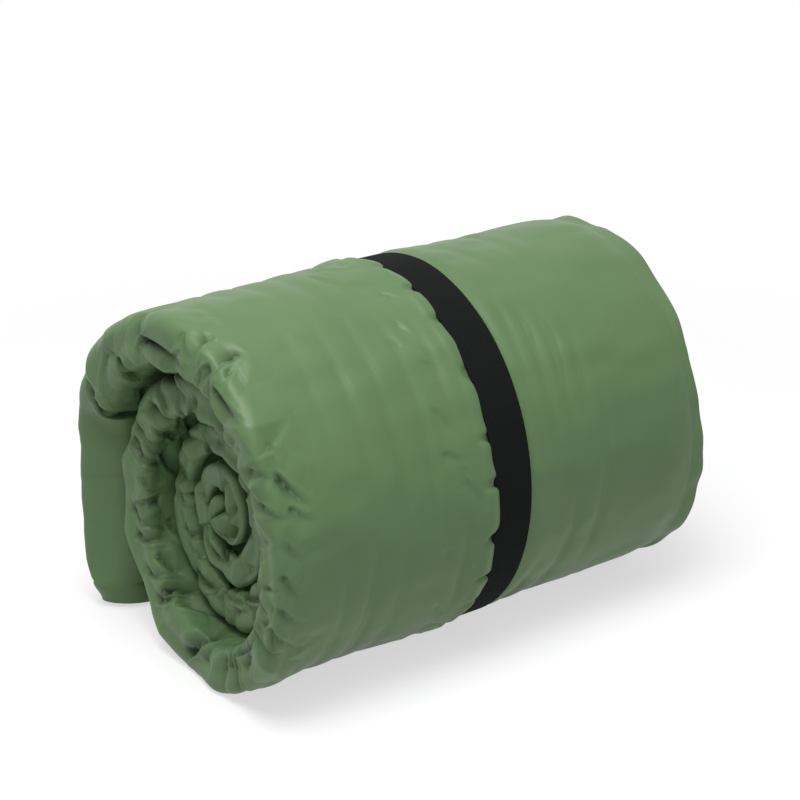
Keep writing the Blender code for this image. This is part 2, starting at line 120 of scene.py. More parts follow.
def softened(values, width):
    """Values along the band, averaged over about width metres."""
    reach = max(1, int(round(2.5 * width / STATION)))
    weights = np.exp(-0.5 * (np.arange(-reach, reach + 1) * STATION / width) ** 2)
    weights /= weights.sum()
    padded = np.pad(values, [(reach, reach)] + [(0, 0)] * (values.ndim - 1), mode="edge")
    flat = padded.reshape(len(padded), -1)
    columns = [np.convolve(flat[:, k], weights, mode="valid") for k in range(flat.shape[1])]
    return np.stack(columns, -1).reshape(values.shape)


# The stations: cuts across the band, from the flap's hem (s = 0) over the crease to the core. Its bends
# are eased, because foam this thick doesn't crease sharply.
BEND_EASE = 0.0022
TURNING_EASE = 0.0035
NOSE_EASE = 0.0080
crease, _ = winding_point(np.array(CREASE_TURN))
flap_height = crease[1] - HEM_CLEARANCE
dense_turns = np.linspace(CREASE_TURN, core_turn, 24000)
steps = np.linalg.norm(np.diff(winding_point(dense_turns)[0], axis=0), axis=1)
dense_length = np.concatenate(([0.0], np.cumsum(steps)))
cuts = np.linspace(0.0, dense_length[-1], int(round(dense_length[-1] / STATION)) + 1)
turns = np.interp(cuts, dense_length, dense_turns)
heights = np.arange(0.0, flap_height, STATION)
flap_count = len(heights)
s = np.concatenate((heights, flap_height + cuts))
turn_of = np.concatenate((np.full(flap_count, CREASE_TURN), turns))
band_length = s[-1]

point, out = winding_point(turns)
tuck = math.radians(FLAP_TUCK_DEGREES)
drawn_in = NEAR_TUCK * smooth_step((heights - FLAP_BEND_HEIGHT) / (crease[1] - FLAP_BEND_HEIGHT))
flap_near = np.stack((crease[0] - drawn_in, HEM_CLEARANCE + heights), -1)
below_bend = np.maximum(FLAP_BEND_HEIGHT - heights, 0.0)
flap_far = np.stack((
    crease[0] - math.sin(tuck) * below_bend,
    HEM_CLEARANCE + np.maximum(heights, FLAP_BEND_HEIGHT) - math.cos(tuck) * below_bend,
), -1)
flap_far_out = np.where(below_bend[:, None] > 0.0, (math.cos(tuck), -math.sin(tuck)), (1.0, 0.0))
winding_near = point - out * (NEAR_TUCK * (1.0 - smooth_step(turns / TUCK_FADE_TURNS)))[:, None]
near = np.concatenate((flap_near, winding_near))
far = np.concatenate((flap_far, point))
near_out = softened(np.concatenate((np.tile((1.0, 0.0), (flap_count, 1)), out)), TURNING_EASE)
far_out = softened(np.concatenate((flap_far_out, out)), TURNING_EASE)
near, far = softened(near, BEND_EASE), softened(far, BEND_EASE)

flap_thickness = np.full(flap_count, band_thickness(np.array(CREASE_TURN)))
thickness = np.concatenate((flap_thickness, band_thickness(turns)))
to_hem = 1.0 - (s - END_WELD) / (1.5 * EDGE_ROUNDING)
core_tip = np.sqrt(1.0 - np.clip(1.0 - (band_length - s) / CORE_ROUNDING, 0.0, 0.995) ** 2)
full = (1.0 - np.clip(to_hem, 0.0, 1.0) ** 2.2) * core_tip
at_hem = 1.0 - smooth_step((s - 0.6 * END_WELD) / (1.8 * EDGE_ROUNDING))
spread = (thickness + (HEM_SPREAD - thickness) * at_hem) * core_tip
nose_x = NEAR_END + FUNNEL_DEPTH * smooth_step(turn_of / FUNNEL_TURNS)
nose_x[:flap_count] = NEAR_END + FLAP_LEAN
nose_x = softened(nose_x, NOSE_EASE)
lean = softened(np.where(np.arange(len(s)) < flap_count, FLAP_LEAN, 0.0), NOSE_EASE)
# The flap's folded end keeps its reach where it thins to the hem, and its last corner rounds off.
HEM_CORNER = 0.0160
HEM_CORNER_IN = 0.0065
nose_out = 0.12 * (1.0 - full) * thickness * (s < flap_height)
nose_out -= HEM_CORNER_IN * smooth_step(1.0 - s / HEM_CORNER)

# Columns across the folded mat: w runs from the inner ply's edge (-) round the fold (0) to the outer
# ply's edge (+). They lie closest where the fabric is creased: at the fold and beside the strap.
HALF_WIDTH = MAT_WIDTH / 2.0
FOLD_REGION = 0.052
HEM_REGION = 0.026
before_hem = HALF_WIDTH - HEM_REGION - 0.002
fold_columns = [
    *np.arange(0.0, 0.013, 0.0003), *np.arange(0.013, 0.030, 0.0009), *np.arange(0.030, FOLD_REGION, 0.0022),
]
hem_columns = [*np.arange(HALF_WIDTH - HEM_REGION, HALF_WIDTH, 0.0016), HALF_WIDTH]
inner_half = np.array([*fold_columns, *np.arange(FOLD_REGION, before_hem, 0.0034), *hem_columns])
outer_half = np.array([
    *fold_columns, *np.arange(FOLD_REGION, 0.095, 0.0026), *np.arange(0.095, 0.165, 0.0012),
    *np.arange(0.165, before_hem, 0.0024), *hem_columns,
])
w = np.concatenate((-inner_half[:0:-1], outer_half))
S, W = np.meshgrid(s, w, indexing="ij")
middle = (spread / 4.0 + FOLD_GAP / 4.0)[:, None]
skin = LAYER_GAP / 2.0 + SHEET
half_full = (full * (thickness / 4.0 - FOLD_GAP / 4.0 - skin))[:, None]
from_edge = HALF_WIDTH - EDGE_WELD - np.abs(W)
loft = np.sqrt(np.clip(1.0 - np.clip(1.0 - from_edge / EDGE_ROUNDING, 0.0, 1.0) ** 2, 0.0, 1.0))
half = half_full * loft
fold_radius = middle + half_full + skin
fold_x = nose_x[:, None] + fold_radius
angle = np.clip(W / middle, -math.pi / 2.0, math.pi / 2.0)
beyond = np.maximum(np.abs(W) - math.pi / 2.0 * middle, 0.0)
path_x = fold_x - middle * np.cos(angle) + beyond - nose_out[:, None] * (1.0 - smooth_step(np.abs(W) / 0.060))
path_offset = middle * np.sin(angle)
# At the far end the wound plies press on each other, so the foam thins from inside and the outermost
# sheet runs on nearly flat to its edge.
edge_lift = EDGE_LIFT * half_full * (1.0 - loft) * smooth_step((s - flap_height) / 0.040)[:, None]
path_offset = path_offset + np.sign(W) * edge_lift
normal_x, normal_out = -np.cos(angle), np.sin(angle)

# Measured over the fabric from the middle of the fold, the way across the mat is its girth.
quarter = math.pi / 2.0 * middle
girth = np.sign(W) * np.where(
    np.abs(W) < quarter, np.abs(W) * fold_radius / middle, np.abs(W) + math.pi / 2.0 * fold_radius - quarter
)


def field(seed, size_s, size_w):
    """A smooth random surface over the mat, about from -1 to 1, with bumps of that size in metres."""
    random = np.random.default_rng(seed)
    rows, columns = int(band_length / size_s) + 4, int(MAT_WIDTH / size_w) + 4
    lattice = random.uniform(-1.3, 1.3, (rows, columns))

    def cubic(values, at, axis):
        i = np.clip(at.astype(int), 1, values.shape[axis] - 3)
        t = np.clip(at - i, 0.0, 1.0)
        weights = (
            ((-t + 2.0) * t - 1.0) * t / 2.0, ((3.0 * t - 5.0) * t * t + 2.0) / 2.0,
            ((-3.0 * t + 4.0) * t + 1.0) * t / 2.0, (t - 1.0) * t * t / 2.0,
        )
        shape = (-1, 1) if axis == 0 else (1, -1)
        return sum(
            k.reshape(shape) * np.take(values, i + shift, axis=axis)
            for shift, k in zip((-1, 0, 1, 2), weights)
        )

    return cubic(cubic(lattice, s / size_s + 1.0, 0), (w + HALF_WIDTH) / size_w + 1.0, 1)


# Height of the fabric over its plain form, in metres, along the normal. The fold is fuller than half
# a round, and at the core the band fills the roll's eye.
FLAP_FULLNESS = 0.155
ROLL_FULLNESS = 0.265
CORE_FILLING = 0.0070
CORE_END_FILLING = 0.0115
outer_ply = smooth_step((W - 0.002) / 0.020)
on_barrel = outer_ply * smooth_step((1.05 - turn_of[:, None]) / 0.1)
fullness = FLAP_FULLNESS + (ROLL_FULLNESS - FLAP_FULLNESS) * smooth_step((turn_of - 0.30) / 0.40)
relief = fullness[:, None] * fold_radius * np.sin(2.0 * angle) ** 2 * full[:, None]
core_closed = smooth_step((turn_of - core_turn + 1.20) / 0.35)[:, None]
core_end = smooth_step((turn_of - core_turn + 0.60) / 0.35)[:, None]
core_filling = (CORE_FILLING + CORE_END_FILLING * core_end) * core_closed * core_tip[:, None]
relief += core_filling * smooth_step((0.003 - girth) / 0.012) * smooth_step((girth + 0.090) / 0.030)

# Soft lumps of the foam under the fabric, and fine ripples on the barrel, where the outer sheet has a
# little slack: each with a height and its size along and across the mat.
for seed, height, size_s, size_w, where in (
    (3, 0.0007, 0.060, 0.055, loft), (4, 0.0003, 0.022, 0.026, loft),
    (19, 0.0004, 0.0095, 0.024, loft * outer_ply * on_barrel),
):
    relief += height * field(seed, size_s, size_w) * where

# The foam's slots run along the mat every 20.5 mm and show as faint channels round the roll, deeper
# beyond the strap.
FIRST_SLOT = -0.1275
SLOT_STRAY = 0.0030
SLOT_PITCH = 0.0205
SLOT_WIDTH = 0.0040
SLOT_DEPTH = 0.0014
slot_at = (path_x - FIRST_SLOT + SLOT_STRAY * field(5, 0.050, 0.200)) / SLOT_PITCH
slot_off = np.abs(slot_at - np.round(slot_at)) * SLOT_PITCH
slot_deep = SLOT_DEPTH * np.clip(0.40 + 0.9 * field(6, 0.055, 0.024), 0.0, 1.4)
slot_deep *= 1.0 + 0.9 * smooth_step((path_x - 0.020) / 0.010)
slotted = smooth_step((path_x + 0.140) / 0.014) * smooth_step((0.100 - path_x) / 0.020)
relief -= np.exp(-(slot_off / SLOT_WIDTH) ** 2) * slot_deep * slotted * outer_ply * full[:, None]

# Tucks at the fold, where the winding gathers the fabric. They were measured in the photograph
# and turned into places on the mat: each runs from one (along the mat, girth) to another and has a
# depth, in millimetres.
TUCKS = (
    (143, -8, 133, -9, 1.5), (143, -5, 140, -26, 3.5), (151, 5, 143, -5, 3), (165, -33, 153, -38, 2),
    (187, 2, 162, -13, 1), (194, 1, 196, -6, 2.5), (196, -6, 192, -20, 3.5), (232, 18, 233, 2, 4),
    (233, 2, 226, -7, 3), (234, 1, 263, -2, 3.5), (272, 11, 279, 6, 3), (282, 22, 286, 11, 2),
    (296, 8, 294, -5, 3), (298, 27, 302, 15, 2), (306, 17, 310, 12, 2.5), (308, 3, 325, 7, 2.5),
    (348, 18, 351, 21, 2.5), (355, 3, 360, 10, 1.5), (363, 18, 373, 26, 2.5), (374, 3, 380, 11, 2.5),
    (379, 21, 384, 27, 1.5), (396, 14, 402, 19, 1), (412, 11, 421, 18, 1.5), (430, 5, 437, 6, 2),
    (430, 10, 437, 19, 1.5), (445, 7, 455, 11, 2.5), (446, 0, 438, 3, 2), (446, 9, 454, 20, 1.5),
    (486, 3, 475, -4, 2.5), (492, -8, 466, -6, 2.5), (504, -3, 500, -14, 2), (535, -3, 529, -15, 2.5),
    (541, -16, 545, -27, 2.5), (556, 3, 541, -16, 3.5), (582, -15, 567, -28, 1.5), (595, -10, 588, -29, 3),
    (596, -1, 588, -15, 2.5), (615, 1, 604, -17, 2), (619, -13, 606, -21, 2), (636, 1, 632, -14, 2.5),
    (640, -24, 632, -30, 2.5), (653, 4, 641, -16, 2), (673, -8, 666, -15, 2.5), (693, -19, 681, -27, 2.5),
    (694, 7, 688, -14, 3), (702, -6, 696, -17, 1.5), (707, 8, 708, -12, 2), (730, 4, 740, -10, 3),
    (742, -16, 712, -29, 2), (747, -14, 719, -26, 1.5), (752, 17, 763, 5, 2.5), (769, -11, 724, -32, 3),
    (918, -8, 917, -2, 2), (936, 6, 924, 4, 2), (939, -8, 918, -1, 2.5), (964, -7, 938, -7, 1.5),
    (978, -20, 966, -8, 2), (1001, 7, 980, -9, 2.5), (1009, -4, 1003, -12, 1.5), (1026, 0, 1019, -11, 2),
    (1047, 4, 1042, -6, 2.5), (1062, 6, 1062, -8, 3), (1081, 11, 1102, 1, 1.5), (1089, -15, 1078, -16, 2),
    (1120, 2, 1125, 6, 2.5), (1186, -6, 1184, -1, 2), (1205, 5, 1214, 6, 2), (1231, -13, 1215, -8, 1.5),
    (1232, -3, 1240, -12, 2.5), (1254, 3, 1233, -3, 2), (1261, 4, 1262, -11, 2), (1280, -13, 1268, -12, 1.5),
    (1317, 2, 1320, 6, 2), (1332, 0, 1342, -4, 1.5), (1346, 0, 1360, 4, 2),
)
# Where the photograph shows none of the fold, tucks of the same kind follow each other as closely.
chance = np.random.default_rng(11)
seen = np.array([((from_s + to_s) / 2.0, (from_a + to_a) / 2.0) for from_s, from_a, to_s, to_a, _ in TUCKS])
tucks = list(TUCKS)
position = 30.0
while position < 1000.0 * band_length - 10.0:
    position += chance.uniform(9.0, 18.0)
    middle_a, reach = chance.uniform(-22.0, 6.0), chance.uniform(4.0, 12.0)
    way, depth = math.radians(chance.uniform(45.0, 125.0)), chance.uniform(1.2, 2.6)
    if np.hypot(seen[:, 0] - position, seen[:, 1] - middle_a).min() > 11.0:
        depth *= 0.35 + 0.65 * smooth_step((position - 1000.0 * flap_height + 10.0) / 30.0)
        across, rise = reach * math.cos(way), reach * math.sin(way)
        tucks.append((position - across, middle_a - rise, position + across, middle_a + rise, depth))

# Between the tucks the taut fabric stands in flat panels: a net of triangles over the fold, low along
# each tuck and high between them.
PANEL_SIZE = 14.5
PANEL_HEIGHT = 4.2
PANEL_STRAY = 0.38
PANEL_TO_TUCK = 0.42
NET_REACH = (-54.0, 66.0)
corners, corner_heights, folds = [], [], []
for from_s, from_a, to_s, to_a, depth in tucks:
    folds.append((len(corners), len(corners) + 1))
    corners += [Vector((from_s, from_a)), Vector((to_s, to_a))]
    corner_heights += [-0.75 * depth, -0.35 * depth]
ends = np.array([tuple(corner) for corner in corners])
for row in np.arange(0.0, 1000.0 * band_length + PANEL_SIZE, PANEL_SIZE):
    for column in np.arange(*NET_REACH, PANEL_SIZE):
        here = np.array((row, column)) + chance.uniform(-PANEL_STRAY, PANEL_STRAY, 2) * PANEL_SIZE
        height = chance.uniform(-0.35, 0.75) * PANEL_HEIGHT
        if np.hypot(*(ends - here).T).min() > PANEL_TO_TUCK * PANEL_SIZE:
            corners.append(Vector(here))
            corner_heights.append(height)
net_points, _, net_faces, source, _, _ = delaunay_2d_cdt(corners, folds, [], 0, 0.001)
net = np.array([tuple(p) for p in net_points])
net_height = np.array([corner_heights[ids[0]] if ids else -0.5 for ids in source])
panels = np.zeros_like(S)
for face in net_faces:
    (s0, a0), (s1, a1), (s2, a2) = net[face] / 1000.0
    rows = slice(*np.searchsorted(s, (min(s0, s1, s2), max(s0, s1, s2))))
    area = (s1 - s0) * (a2 - a0) - (s2 - s0) * (a1 - a0)
    if rows.start < rows.stop and abs(area) > 1e-12:
        ds, da = S[rows] - s0, girth[rows] - a0
        second = (ds * (a2 - a0) - (s2 - s0) * da) / area
        third = ((s1 - s0) * da - ds * (a1 - a0)) / area
        inside = (second >= 0.0) & (third >= 0.0) & (second + third <= 1.0)
        h0, h1, h2 = net_height[face] / 1000.0
        panels[rows][inside] = (h0 + (h1 - h0) * second + (h2 - h0) * third)[inside]
panels = softened(panels, 0.0005)
panels[:, 1:-1] = 0.5 * panels[:, 1:-1] + 0.25 * (panels[:, :-2] + panels[:, 2:])
# The panels fade out away from the fold, and stand lower on the flap, whose fold hangs nearly smooth.
PANEL_REACH = 0.046
FLAP_PANELS = 0.25
gathered = smooth_step((PANEL_REACH - np.abs(girth - 0.002)) / 0.026) * full[:, None]
gathered *= FLAP_PANELS + (1.0 - FLAP_PANELS) * smooth_step((s - flap_height + 0.030) / 0.040)[:, None]
relief += gathered * panels

# How much deeper the tucks are pressed than measured, how deep a tuck may be for its length, how far its
# line bows, how blunt its foot is, and where the bank beside it stands and how high.
TUCK_DEPTH = 1.70
TUCK_SLOPE = 0.27
TUCK_BOW = 0.08
TUCK_FOOT = 0.00025
BANK_PLACE = 1.9
BANK_HEIGHT = 0.30
valleys = np.zeros_like(S)
ledges = np.zeros_like(S)


def press_tuck(tuck, steep=0.0013, gentle=0.0042, run_on=1.8, start=0.0026):
    """Press one crease into the fabric: a crisp line at the foot of two slopes, which open out along it."""
    from_s, from_a, to_s, to_a, depth = (value / 1000.0 for value in tuck)
    run, rise = to_s - from_s, to_a - from_a
    length = math.hypot(run, rise)
    margin = 2.0 * start + 3.0 * gentle
    tip_s, tip_a = from_s + run_on * run, from_a + run_on * rise
    rows = slice(*np.searchsorted(s, (min(from_s, tip_s) - margin, max(from_s, tip_s) + margin)))
    low, high = min(from_a, tip_a) - margin, max(from_a, tip_a) + margin
    columns = np.nonzero(((girth[rows] > low) & (girth[rows] < high)).any(axis=0))[0]
    if rows.start >= rows.stop or not len(columns):
        return
    window = (rows, slice(columns[0], columns[-1] + 1))
    ds, da = S[window] - from_s, girth[window] - from_a
    along = (ds * run + da * rise) / length
    share = np.clip(along / (run_on * length), 0.0, 1.0)
    # The line bows a little, as no crease in fabric is quite straight.
    across = (ds * rise - da * run) / length - TUCK_BOW * length * np.sin(math.pi * share)
    fade = (1.0 - share) ** 0.8 * np.exp(-(np.minimum(along, 0.0) / start) ** 2)
    width = np.where(across * run < 0.0, steep, gentle) * (1.0 + 0.5 * share)
    valley = np.exp(-np.hypot(across, TUCK_FOOT) / width)
    bank = np.exp(-((np.abs(across) / width - BANK_PLACE) ** 2))
    valleys[window] = np.maximum(valleys[window], depth * fade * valley)
    ledges[window] = np.maximum(ledges[window], BANK_HEIGHT * depth * fade * bank)


for tuck in tucks:
    # A short tuck is shallow, or it would look like a puncture.
    tuck_length = math.hypot(tuck[2] - tuck[0], tuck[3] - tuck[1])
    press_tuck((*tuck[:4], min(TUCK_DEPTH * tuck[4], TUCK_SLOPE * tuck_length)))
relief += (ledges - valleys) * smooth_step((0.075 - np.abs(girth)) / 0.010) * full[:, None]
# The tucks' depths are kept to paint shade into the fabric's colour along the creases.
crease_shade_depth = valleys.copy()

# A narrow line shows along the top of the flap's welded hem.
HEM_LINE_DEPTH = 0.0003
relief -= HEM_LINE_DEPTH * np.exp(-((S - END_WELD - 0.0004) / 0.0012) ** 2)

# The strap lies pressed into the mat. The fabric swells up on both sides of it, and at its near edge
# folds over the strap in shallow scallops, with a notch between them every 28 mm or so.
STRAP_CENTRE = 0.0065
STRAP_WIDTH = 0.0270
STRAP_THICKNESS = 0.0017
STRAP_CLEARANCE = 0.0003
NOTCH_PITCH = 0.0280
NOTCH_WIDTH = 0.0026
SWELL = 0.0027
NEAR_SWELL = 0.0010
FAR_SWELL = 0.0008
OVERLAP = 0.0037
strap_low, strap_high = STRAP_CENTRE - STRAP_WIDTH / 2.0, STRAP_CENTRE + STRAP_WIDTH / 2.0
strap_reach = smooth_step((1.0 - turn_of) / 0.1)
notch_at = s / NOTCH_PITCH + 0.30 * field(8, 0.040, 0.300)[:, 0]
notch_off = np.abs(notch_at - np.round(notch_at)) * NOTCH_PITCH
scallop = (1.0 - np.exp(-(notch_off / NOTCH_WIDTH) ** 2)) * (0.85 + 0.15 * field(9, 0.011, 0.300)[:, 0])
scallop *= 0.90 + 0.20 * field(10, 0.050, 0.300)[:, 0]
before_strap = strap_low - path_x
beside = np.exp(-((before_strap - 0.0032) / 0.0045) ** 2) * (before_strap > 0.0)
under_strap = smooth_step((path_x - strap_low + 0.001) / 0.002)
under_strap *= smooth_step((strap_high + 0.001 - path_x) / 0.002)
relief *= 1.0 - 0.8 * under_strap * on_barrel
relief += on_barrel * beside * SWELL * scallop[:, None]
relief += on_barrel * NEAR_SWELL * np.exp(-((before_strap - 0.010) / 0.012) ** 2) * (before_strap > 0.0)
past_strap = path_x - strap_high
relief += on_barrel * FAR_SWELL * np.exp(-((past_strap - 0.009) / 0.010) ** 2) * (past_strap > 0.0)
folded_over = OVERLAP * on_barrel * scallop[:, None] * np.exp(-((before_strap - 0.0012) / 0.0026) ** 2)
folded_over *= smooth_step((before_strap + 0.0012) / 0.0012)

# Soft creases on the barrel, where the wound fabric has slack, placed as in the photograph: some
# near the fold and long ones beyond the strap, each given as a tuck is.
BARREL_CREASES = (
    (300, 59, 309, 58, 1.0), (344, 40, 352, 41, 0.9), (350, 42, 385, 40, 0.8), (262, 24, 268, 45, 0.9),
    (338, 30, 326, 52, 0.8), (402, 34, 398, 58, 0.8), (460, 20, 452, 44, 0.9), (288, 76, 300, 92, 0.6),
    (325, 186, 385, 189, 2.0), (318, 197, 400, 200, 3.0), (328, 209, 405, 211, 3.2),
    (335, 221, 395, 221, 3.0), (345, 233, 385, 231, 2.2), (262, 214, 300, 230, 1.2),
    (400, 196, 470, 190, 0.9), (330, 262, 296, 250, 1.2),
)
valleys[:], ledges[:] = 0.0, 0.0
for crease_line in BARREL_CREASES:
    press_tuck(crease_line, steep=0.0036, gentle=0.0046, run_on=1.3, start=0.0140)
# A column of short creases stands before the strap.
SLACK_DEPTH = 0.8
slack = np.random.default_rng(17)
for k in range(20):
    at_s = 235.0 + 14.0 * k + slack.uniform(-6.0, 6.0)
    at_a = 134.0 + slack.normal(0.0, 7.0)
    way, reach = math.radians(slack.uniform(15.0, 80.0)), slack.uniform(3.0, 8.0)
    run, rise, depth = reach * math.cos(way), reach * math.sin(way), slack.uniform(0.9, 2.1)
    crease_line = (at_s - run, at_a - rise, at_s + run, at_a + rise, depth)
    press_tuck(crease_line, steep=0.0016, gentle=0.0036, run_on=1.6, start=0.0040)
relief += SLACK_DEPTH * (ledges - valleys) * on_barrel

# The valve's boat-shaped base is welded between the sheets near the flap's hem, and spreads them.
VALVE_HEIGHT = 0.0450
BOAT_LENGTH = 0.0120
BOAT_HALF_WIDTH = 0.0120
BOAT_HALF_HEIGHT = 0.0065
BOAT_MARGIN = 0.0025
to_valve = S - VALVE_HEIGHT + HEM_CLEARANCE
on_boat = smooth_step((W - HALF_WIDTH + 2.2 * BOAT_LENGTH) / (1.2 * BOAT_LENGTH))
boat_bulge = np.clip(1.0 - (to_valve / (BOAT_HALF_WIDTH + BOAT_MARGIN)) ** 2, 0.0, 1.0) ** 0.8
boat_bulge = (BOAT_HALF_HEIGHT + LAYER_GAP) * boat_bulge * on_boat
boat_bulge = np.maximum(boat_bulge - half, 0.0)

# The welded flange waves where nothing holds it flat. Its inner ply stands out here and there, and its
# outer ply is drawn back in one place at the roll's low side.
FLANGE_WAVE = 0.0022
FLANGE_RIPPLE = 0.0009
RIM_STRAY = 0.0030
INNER_RIM_OUT = 0.0065
DRAWN_BACK = 0.0075
DRAWN_BACK_TURN = 0.655
flange = smooth_step((1.6 * EDGE_WELD - (HALF_WIDTH - np.abs(W))) / (1.6 * EDGE_WELD))
wave = flange * (FLANGE_WAVE * field(14, 0.026, 0.300) + FLANGE_RIPPLE * field(15, 0.011, 0.300))
wave *= 1.0 - smooth_step((boat_bulge - 0.0002) / 0.001)
rim_out = RIM_STRAY * flange * field(16, 0.060, 0.300)
rim_out += INNER_RIM_OUT * flange * np.clip(field(18, 0.030, 0.300), 0.0, 1.0) * (W < 0.0)
drawn_back = np.exp(-((turn_of - DRAWN_BACK_TURN) / 0.020) ** 2)[:, None]
rim_out -= DRAWN_BACK * flange * drawn_back * (W > 0.0)

# Where each point of the fabric ends up: the far part of the flap tucks in under the roll, the mat
# flattens on the floor, and the strap presses it in.
PRESS_RAMP = 0.0065
STRAP_DENT = STRAP_CLEARANCE + STRAP_THICKNESS + 0.0003
FLOOR_CLEARANCE = 0.0004
tucked = np.clip((path_x - fold_x) / (strap_low - fold_x), 0.0, 1.0)
press = np.where(path_x < strap_low, smooth_step((PRESS_RAMP - before_strap) / PRESS_RAMP), 1.0)
press *= 1.0 - 0.55 * smooth_step(past_strap / 0.010) * smooth_step((0.150 - path_x) / 0.02)
strap_press = STRAP_DENT * strap_reach[:, None] * press * outer_ply


def place(x, offset):
    """Points in space from a place along the roll and a distance out from the band's centreline."""
    thick = thickness[:, None]
    x = x - lean[:, None] * (1.0 - tucked) * 2.0 * offset / thick
    centre = near[:, None] * (1.0 - tucked[..., None]) + far[:, None] * tucked[..., None]
    way = near_out[:, None] * (1.0 - tucked[..., None]) + far_out[:, None] * tucked[..., None]
    way = way / np.linalg.norm(way, axis=-1, keepdims=True)
    low = centre[..., 1] + thick / 2.0 * way[..., 1]
    floor_press = np.where(way[..., 1] < -0.5, np.maximum(low / np.minimum(way[..., 1], -0.5), 0.0), 0.0)
    inside = -thick / 2.0
    offset = inside + (offset - inside) * (1.0 - (floor_press + strap_press) / thick)
    across = centre + way * offset[..., None]
    return np.stack((x, across[..., 0], across[..., 1]), -1) + ROLL_SHIFT


# The fabric round the valve is drawn to where the solids have it: its collar lies between the mat's
# edge and the cap.
VALVE_CLEARANCE = 0.0003
COLLAR_LENGTH = 0.0025
VALVE_REACH = 0.0450
collar_end = VALVE_CLEARANCE + COLLAR_LENGTH
cap_low, cap_high = np.array(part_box("valve_cap"))
valve_seat = (cap_low + cap_high) / 2.0
valve_seat[0] = cap_low[0] - collar_end - VALVE_CLEARANCE
valve_row = int(np.searchsorted(s, VALVE_HEIGHT - HEM_CLEARANCE))
round_valve = smooth_step((VALVE_REACH - np.abs(to_valve)) / 0.030)
round_valve *= smooth_step((W - HALF_WIDTH + 0.060) / 0.042)
drawn = (valve_seat - place(path_x, path_offset)[valve_row, -1]) * round_valve[..., None]


def sheet_points(side, depth, height):
    """One face of a sheet: side is 1 outside the fold and -1 inside it."""
    distance = side * (half + depth) + height
    x = path_x + folded_over + rim_out * (1.0 - round_valve) + distance * normal_x
    spot = place(x, path_offset + distance * normal_out) + drawn
    spot[..., 2] = np.maximum(spot[..., 2], FLOOR_CLEARANCE)
    return spot


outer_relief, inner_relief = relief + wave + boat_bulge, wave - boat_bulge
outer_face, outer_back = (sheet_points(1.0, depth, outer_relief) for depth in (skin, LAYER_GAP / 2.0))
inner_face, inner_back = (sheet_points(-1.0, depth, inner_relief) for depth in (skin, LAYER_GAP / 2.0))


def patch_cells(blocks):
    """Cells (first row, last row, first column, last column) of grid blocks with their own steps."""
    cells = []
    for row_range, column_range, row_step, column_step in blocks:
        edges = []
        for (first, last), step in ((row_range, row_step), (column_range, column_step)):
            stops = np.unique(np.append(np.arange(first, last, step), last))
            edges.append((stops[:-1], stops[1:]))
        (r0, r1), (c0, c1) = edges
        rows, columns = np.meshgrid(np.arange(len(r0)), np.arange(len(c0)), indexing="ij")
        cells.append(np.stack((r0[rows], r1[rows], c0[columns], c1[columns]), -1).reshape(-1, 4))
    return np.concatenate(cells)


def add_object(name, data):
    obj = bpy.data.objects.new(name, data)
    bpy.context.scene.collection.objects.link(obj)
    return obj


def mat_shell(name, front, back, front_blocks, back_blocks):
    """A thin closed shell of two faces of a sheet, each in cells that are small only where it shows."""
    loops, sizes, points, measures, shades, rims, start = [], [], [], [], [], [], 0
    for surface, blocks, turn_over in ((front, front_blocks, False), (back, back_blocks, True)):
        cells = patch_cells(blocks)
        used = np.zeros(S.shape, bool)
        for row, column in ((0, 2), (0, 3), (1, 2), (1, 3)):
            used[cells[:, row], cells[:, column]] = True
        index = np.full(S.shape, -1)
        index[used] = start + np.arange(used.sum())
        start += used.sum()
        points.append(surface[used])
        measures.append(np.stack((S[used], W[used]), -1))
        shades.append(crease_shade_depth[used])
        r0, r1, c0, c1 = cells.T
        over, down = np.cumsum(used, axis=1), np.cumsum(used, axis=0)
        between = over[r0, c1] - over[r0, c0] + over[r1, c1] - over[r1, c0]
        between += down[r1, c0] - down[r0, c0] + down[r1, c1] - down[r0, c1]
        plain = between == 4
        quads = np.stack((index[r0, c0], index[r0, c1], index[r1, c1], index[r1, c0]), -1)[plain]
        loops.append((quads[:, ::-1] if turn_over else quads).ravel())
        sizes.append(np.full(len(quads), 4))
        # A cell beside smaller ones takes their corners into its own outline.
        for r0, r1, c0, c1 in cells[~plain]:
            ring = np.concatenate((
                index[r0, c0:c1], index[r0:r1, c1], index[r1, c1:c0:-1], index[r1:r0:-1, c0]
            ))
            ring = ring[ring >= 0]
            loops.append(ring[::-1] if turn_over else ring)
            sizes.append(np.array([len(ring)]))
        borders = (index[0], index[-1], index[:, 0], index[:, -1])
        rims.append([(np.nonzero(line >= 0)[0], line) for line in borders])
    # The two faces are joined round their rims, each long edge of the coarser one to several short ones.
    for (_, fine), (coarse_at, coarse), flip in zip(*rims, (False, True, True, False)):
        for first, last in zip(coarse_at[:-1], coarse_at[1:]):
            between = fine[first:last + 1]
            ring = np.concatenate((between[between >= 0], (coarse[last], coarse[first])))
            loops.append(ring if flip else ring[::-1])
            sizes.append(np.array([len(ring)]))
    points, loops, sizes = np.concatenate(points), np.concatenate(loops), np.concatenate(sizes)
    mesh = bpy.data.meshes.new(name)
    mesh.vertices.add(len(points))
    mesh.vertices.foreach_set("co", points.ravel())
    mesh.loops.add(len(loops))
    mesh.loops.foreach_set("vertex_index", loops)
    mesh.polygons.add(len(sizes))
    mesh.polygons.foreach_set("loop_start", np.concatenate(([0], np.cumsum(sizes)[:-1])))
    mesh.update(calc_edges=True)
    layer = mesh.uv_layers.new(name="mat_measures")
    layer.data.foreach_set("uv", np.concatenate(measures)[loops].ravel())
    # Each point's crease depth, from which the fabric's colour paints shade into the creases.
    creased = mesh.attributes.new("crease_depth", "FLOAT", "POINT")
    creased.data.foreach_set("value", np.concatenate(shades))
    mesh.shade_smooth()
    return add_object(name, mesh)


def column_at(width):
    return int(np.argmin(np.abs(w - width)))


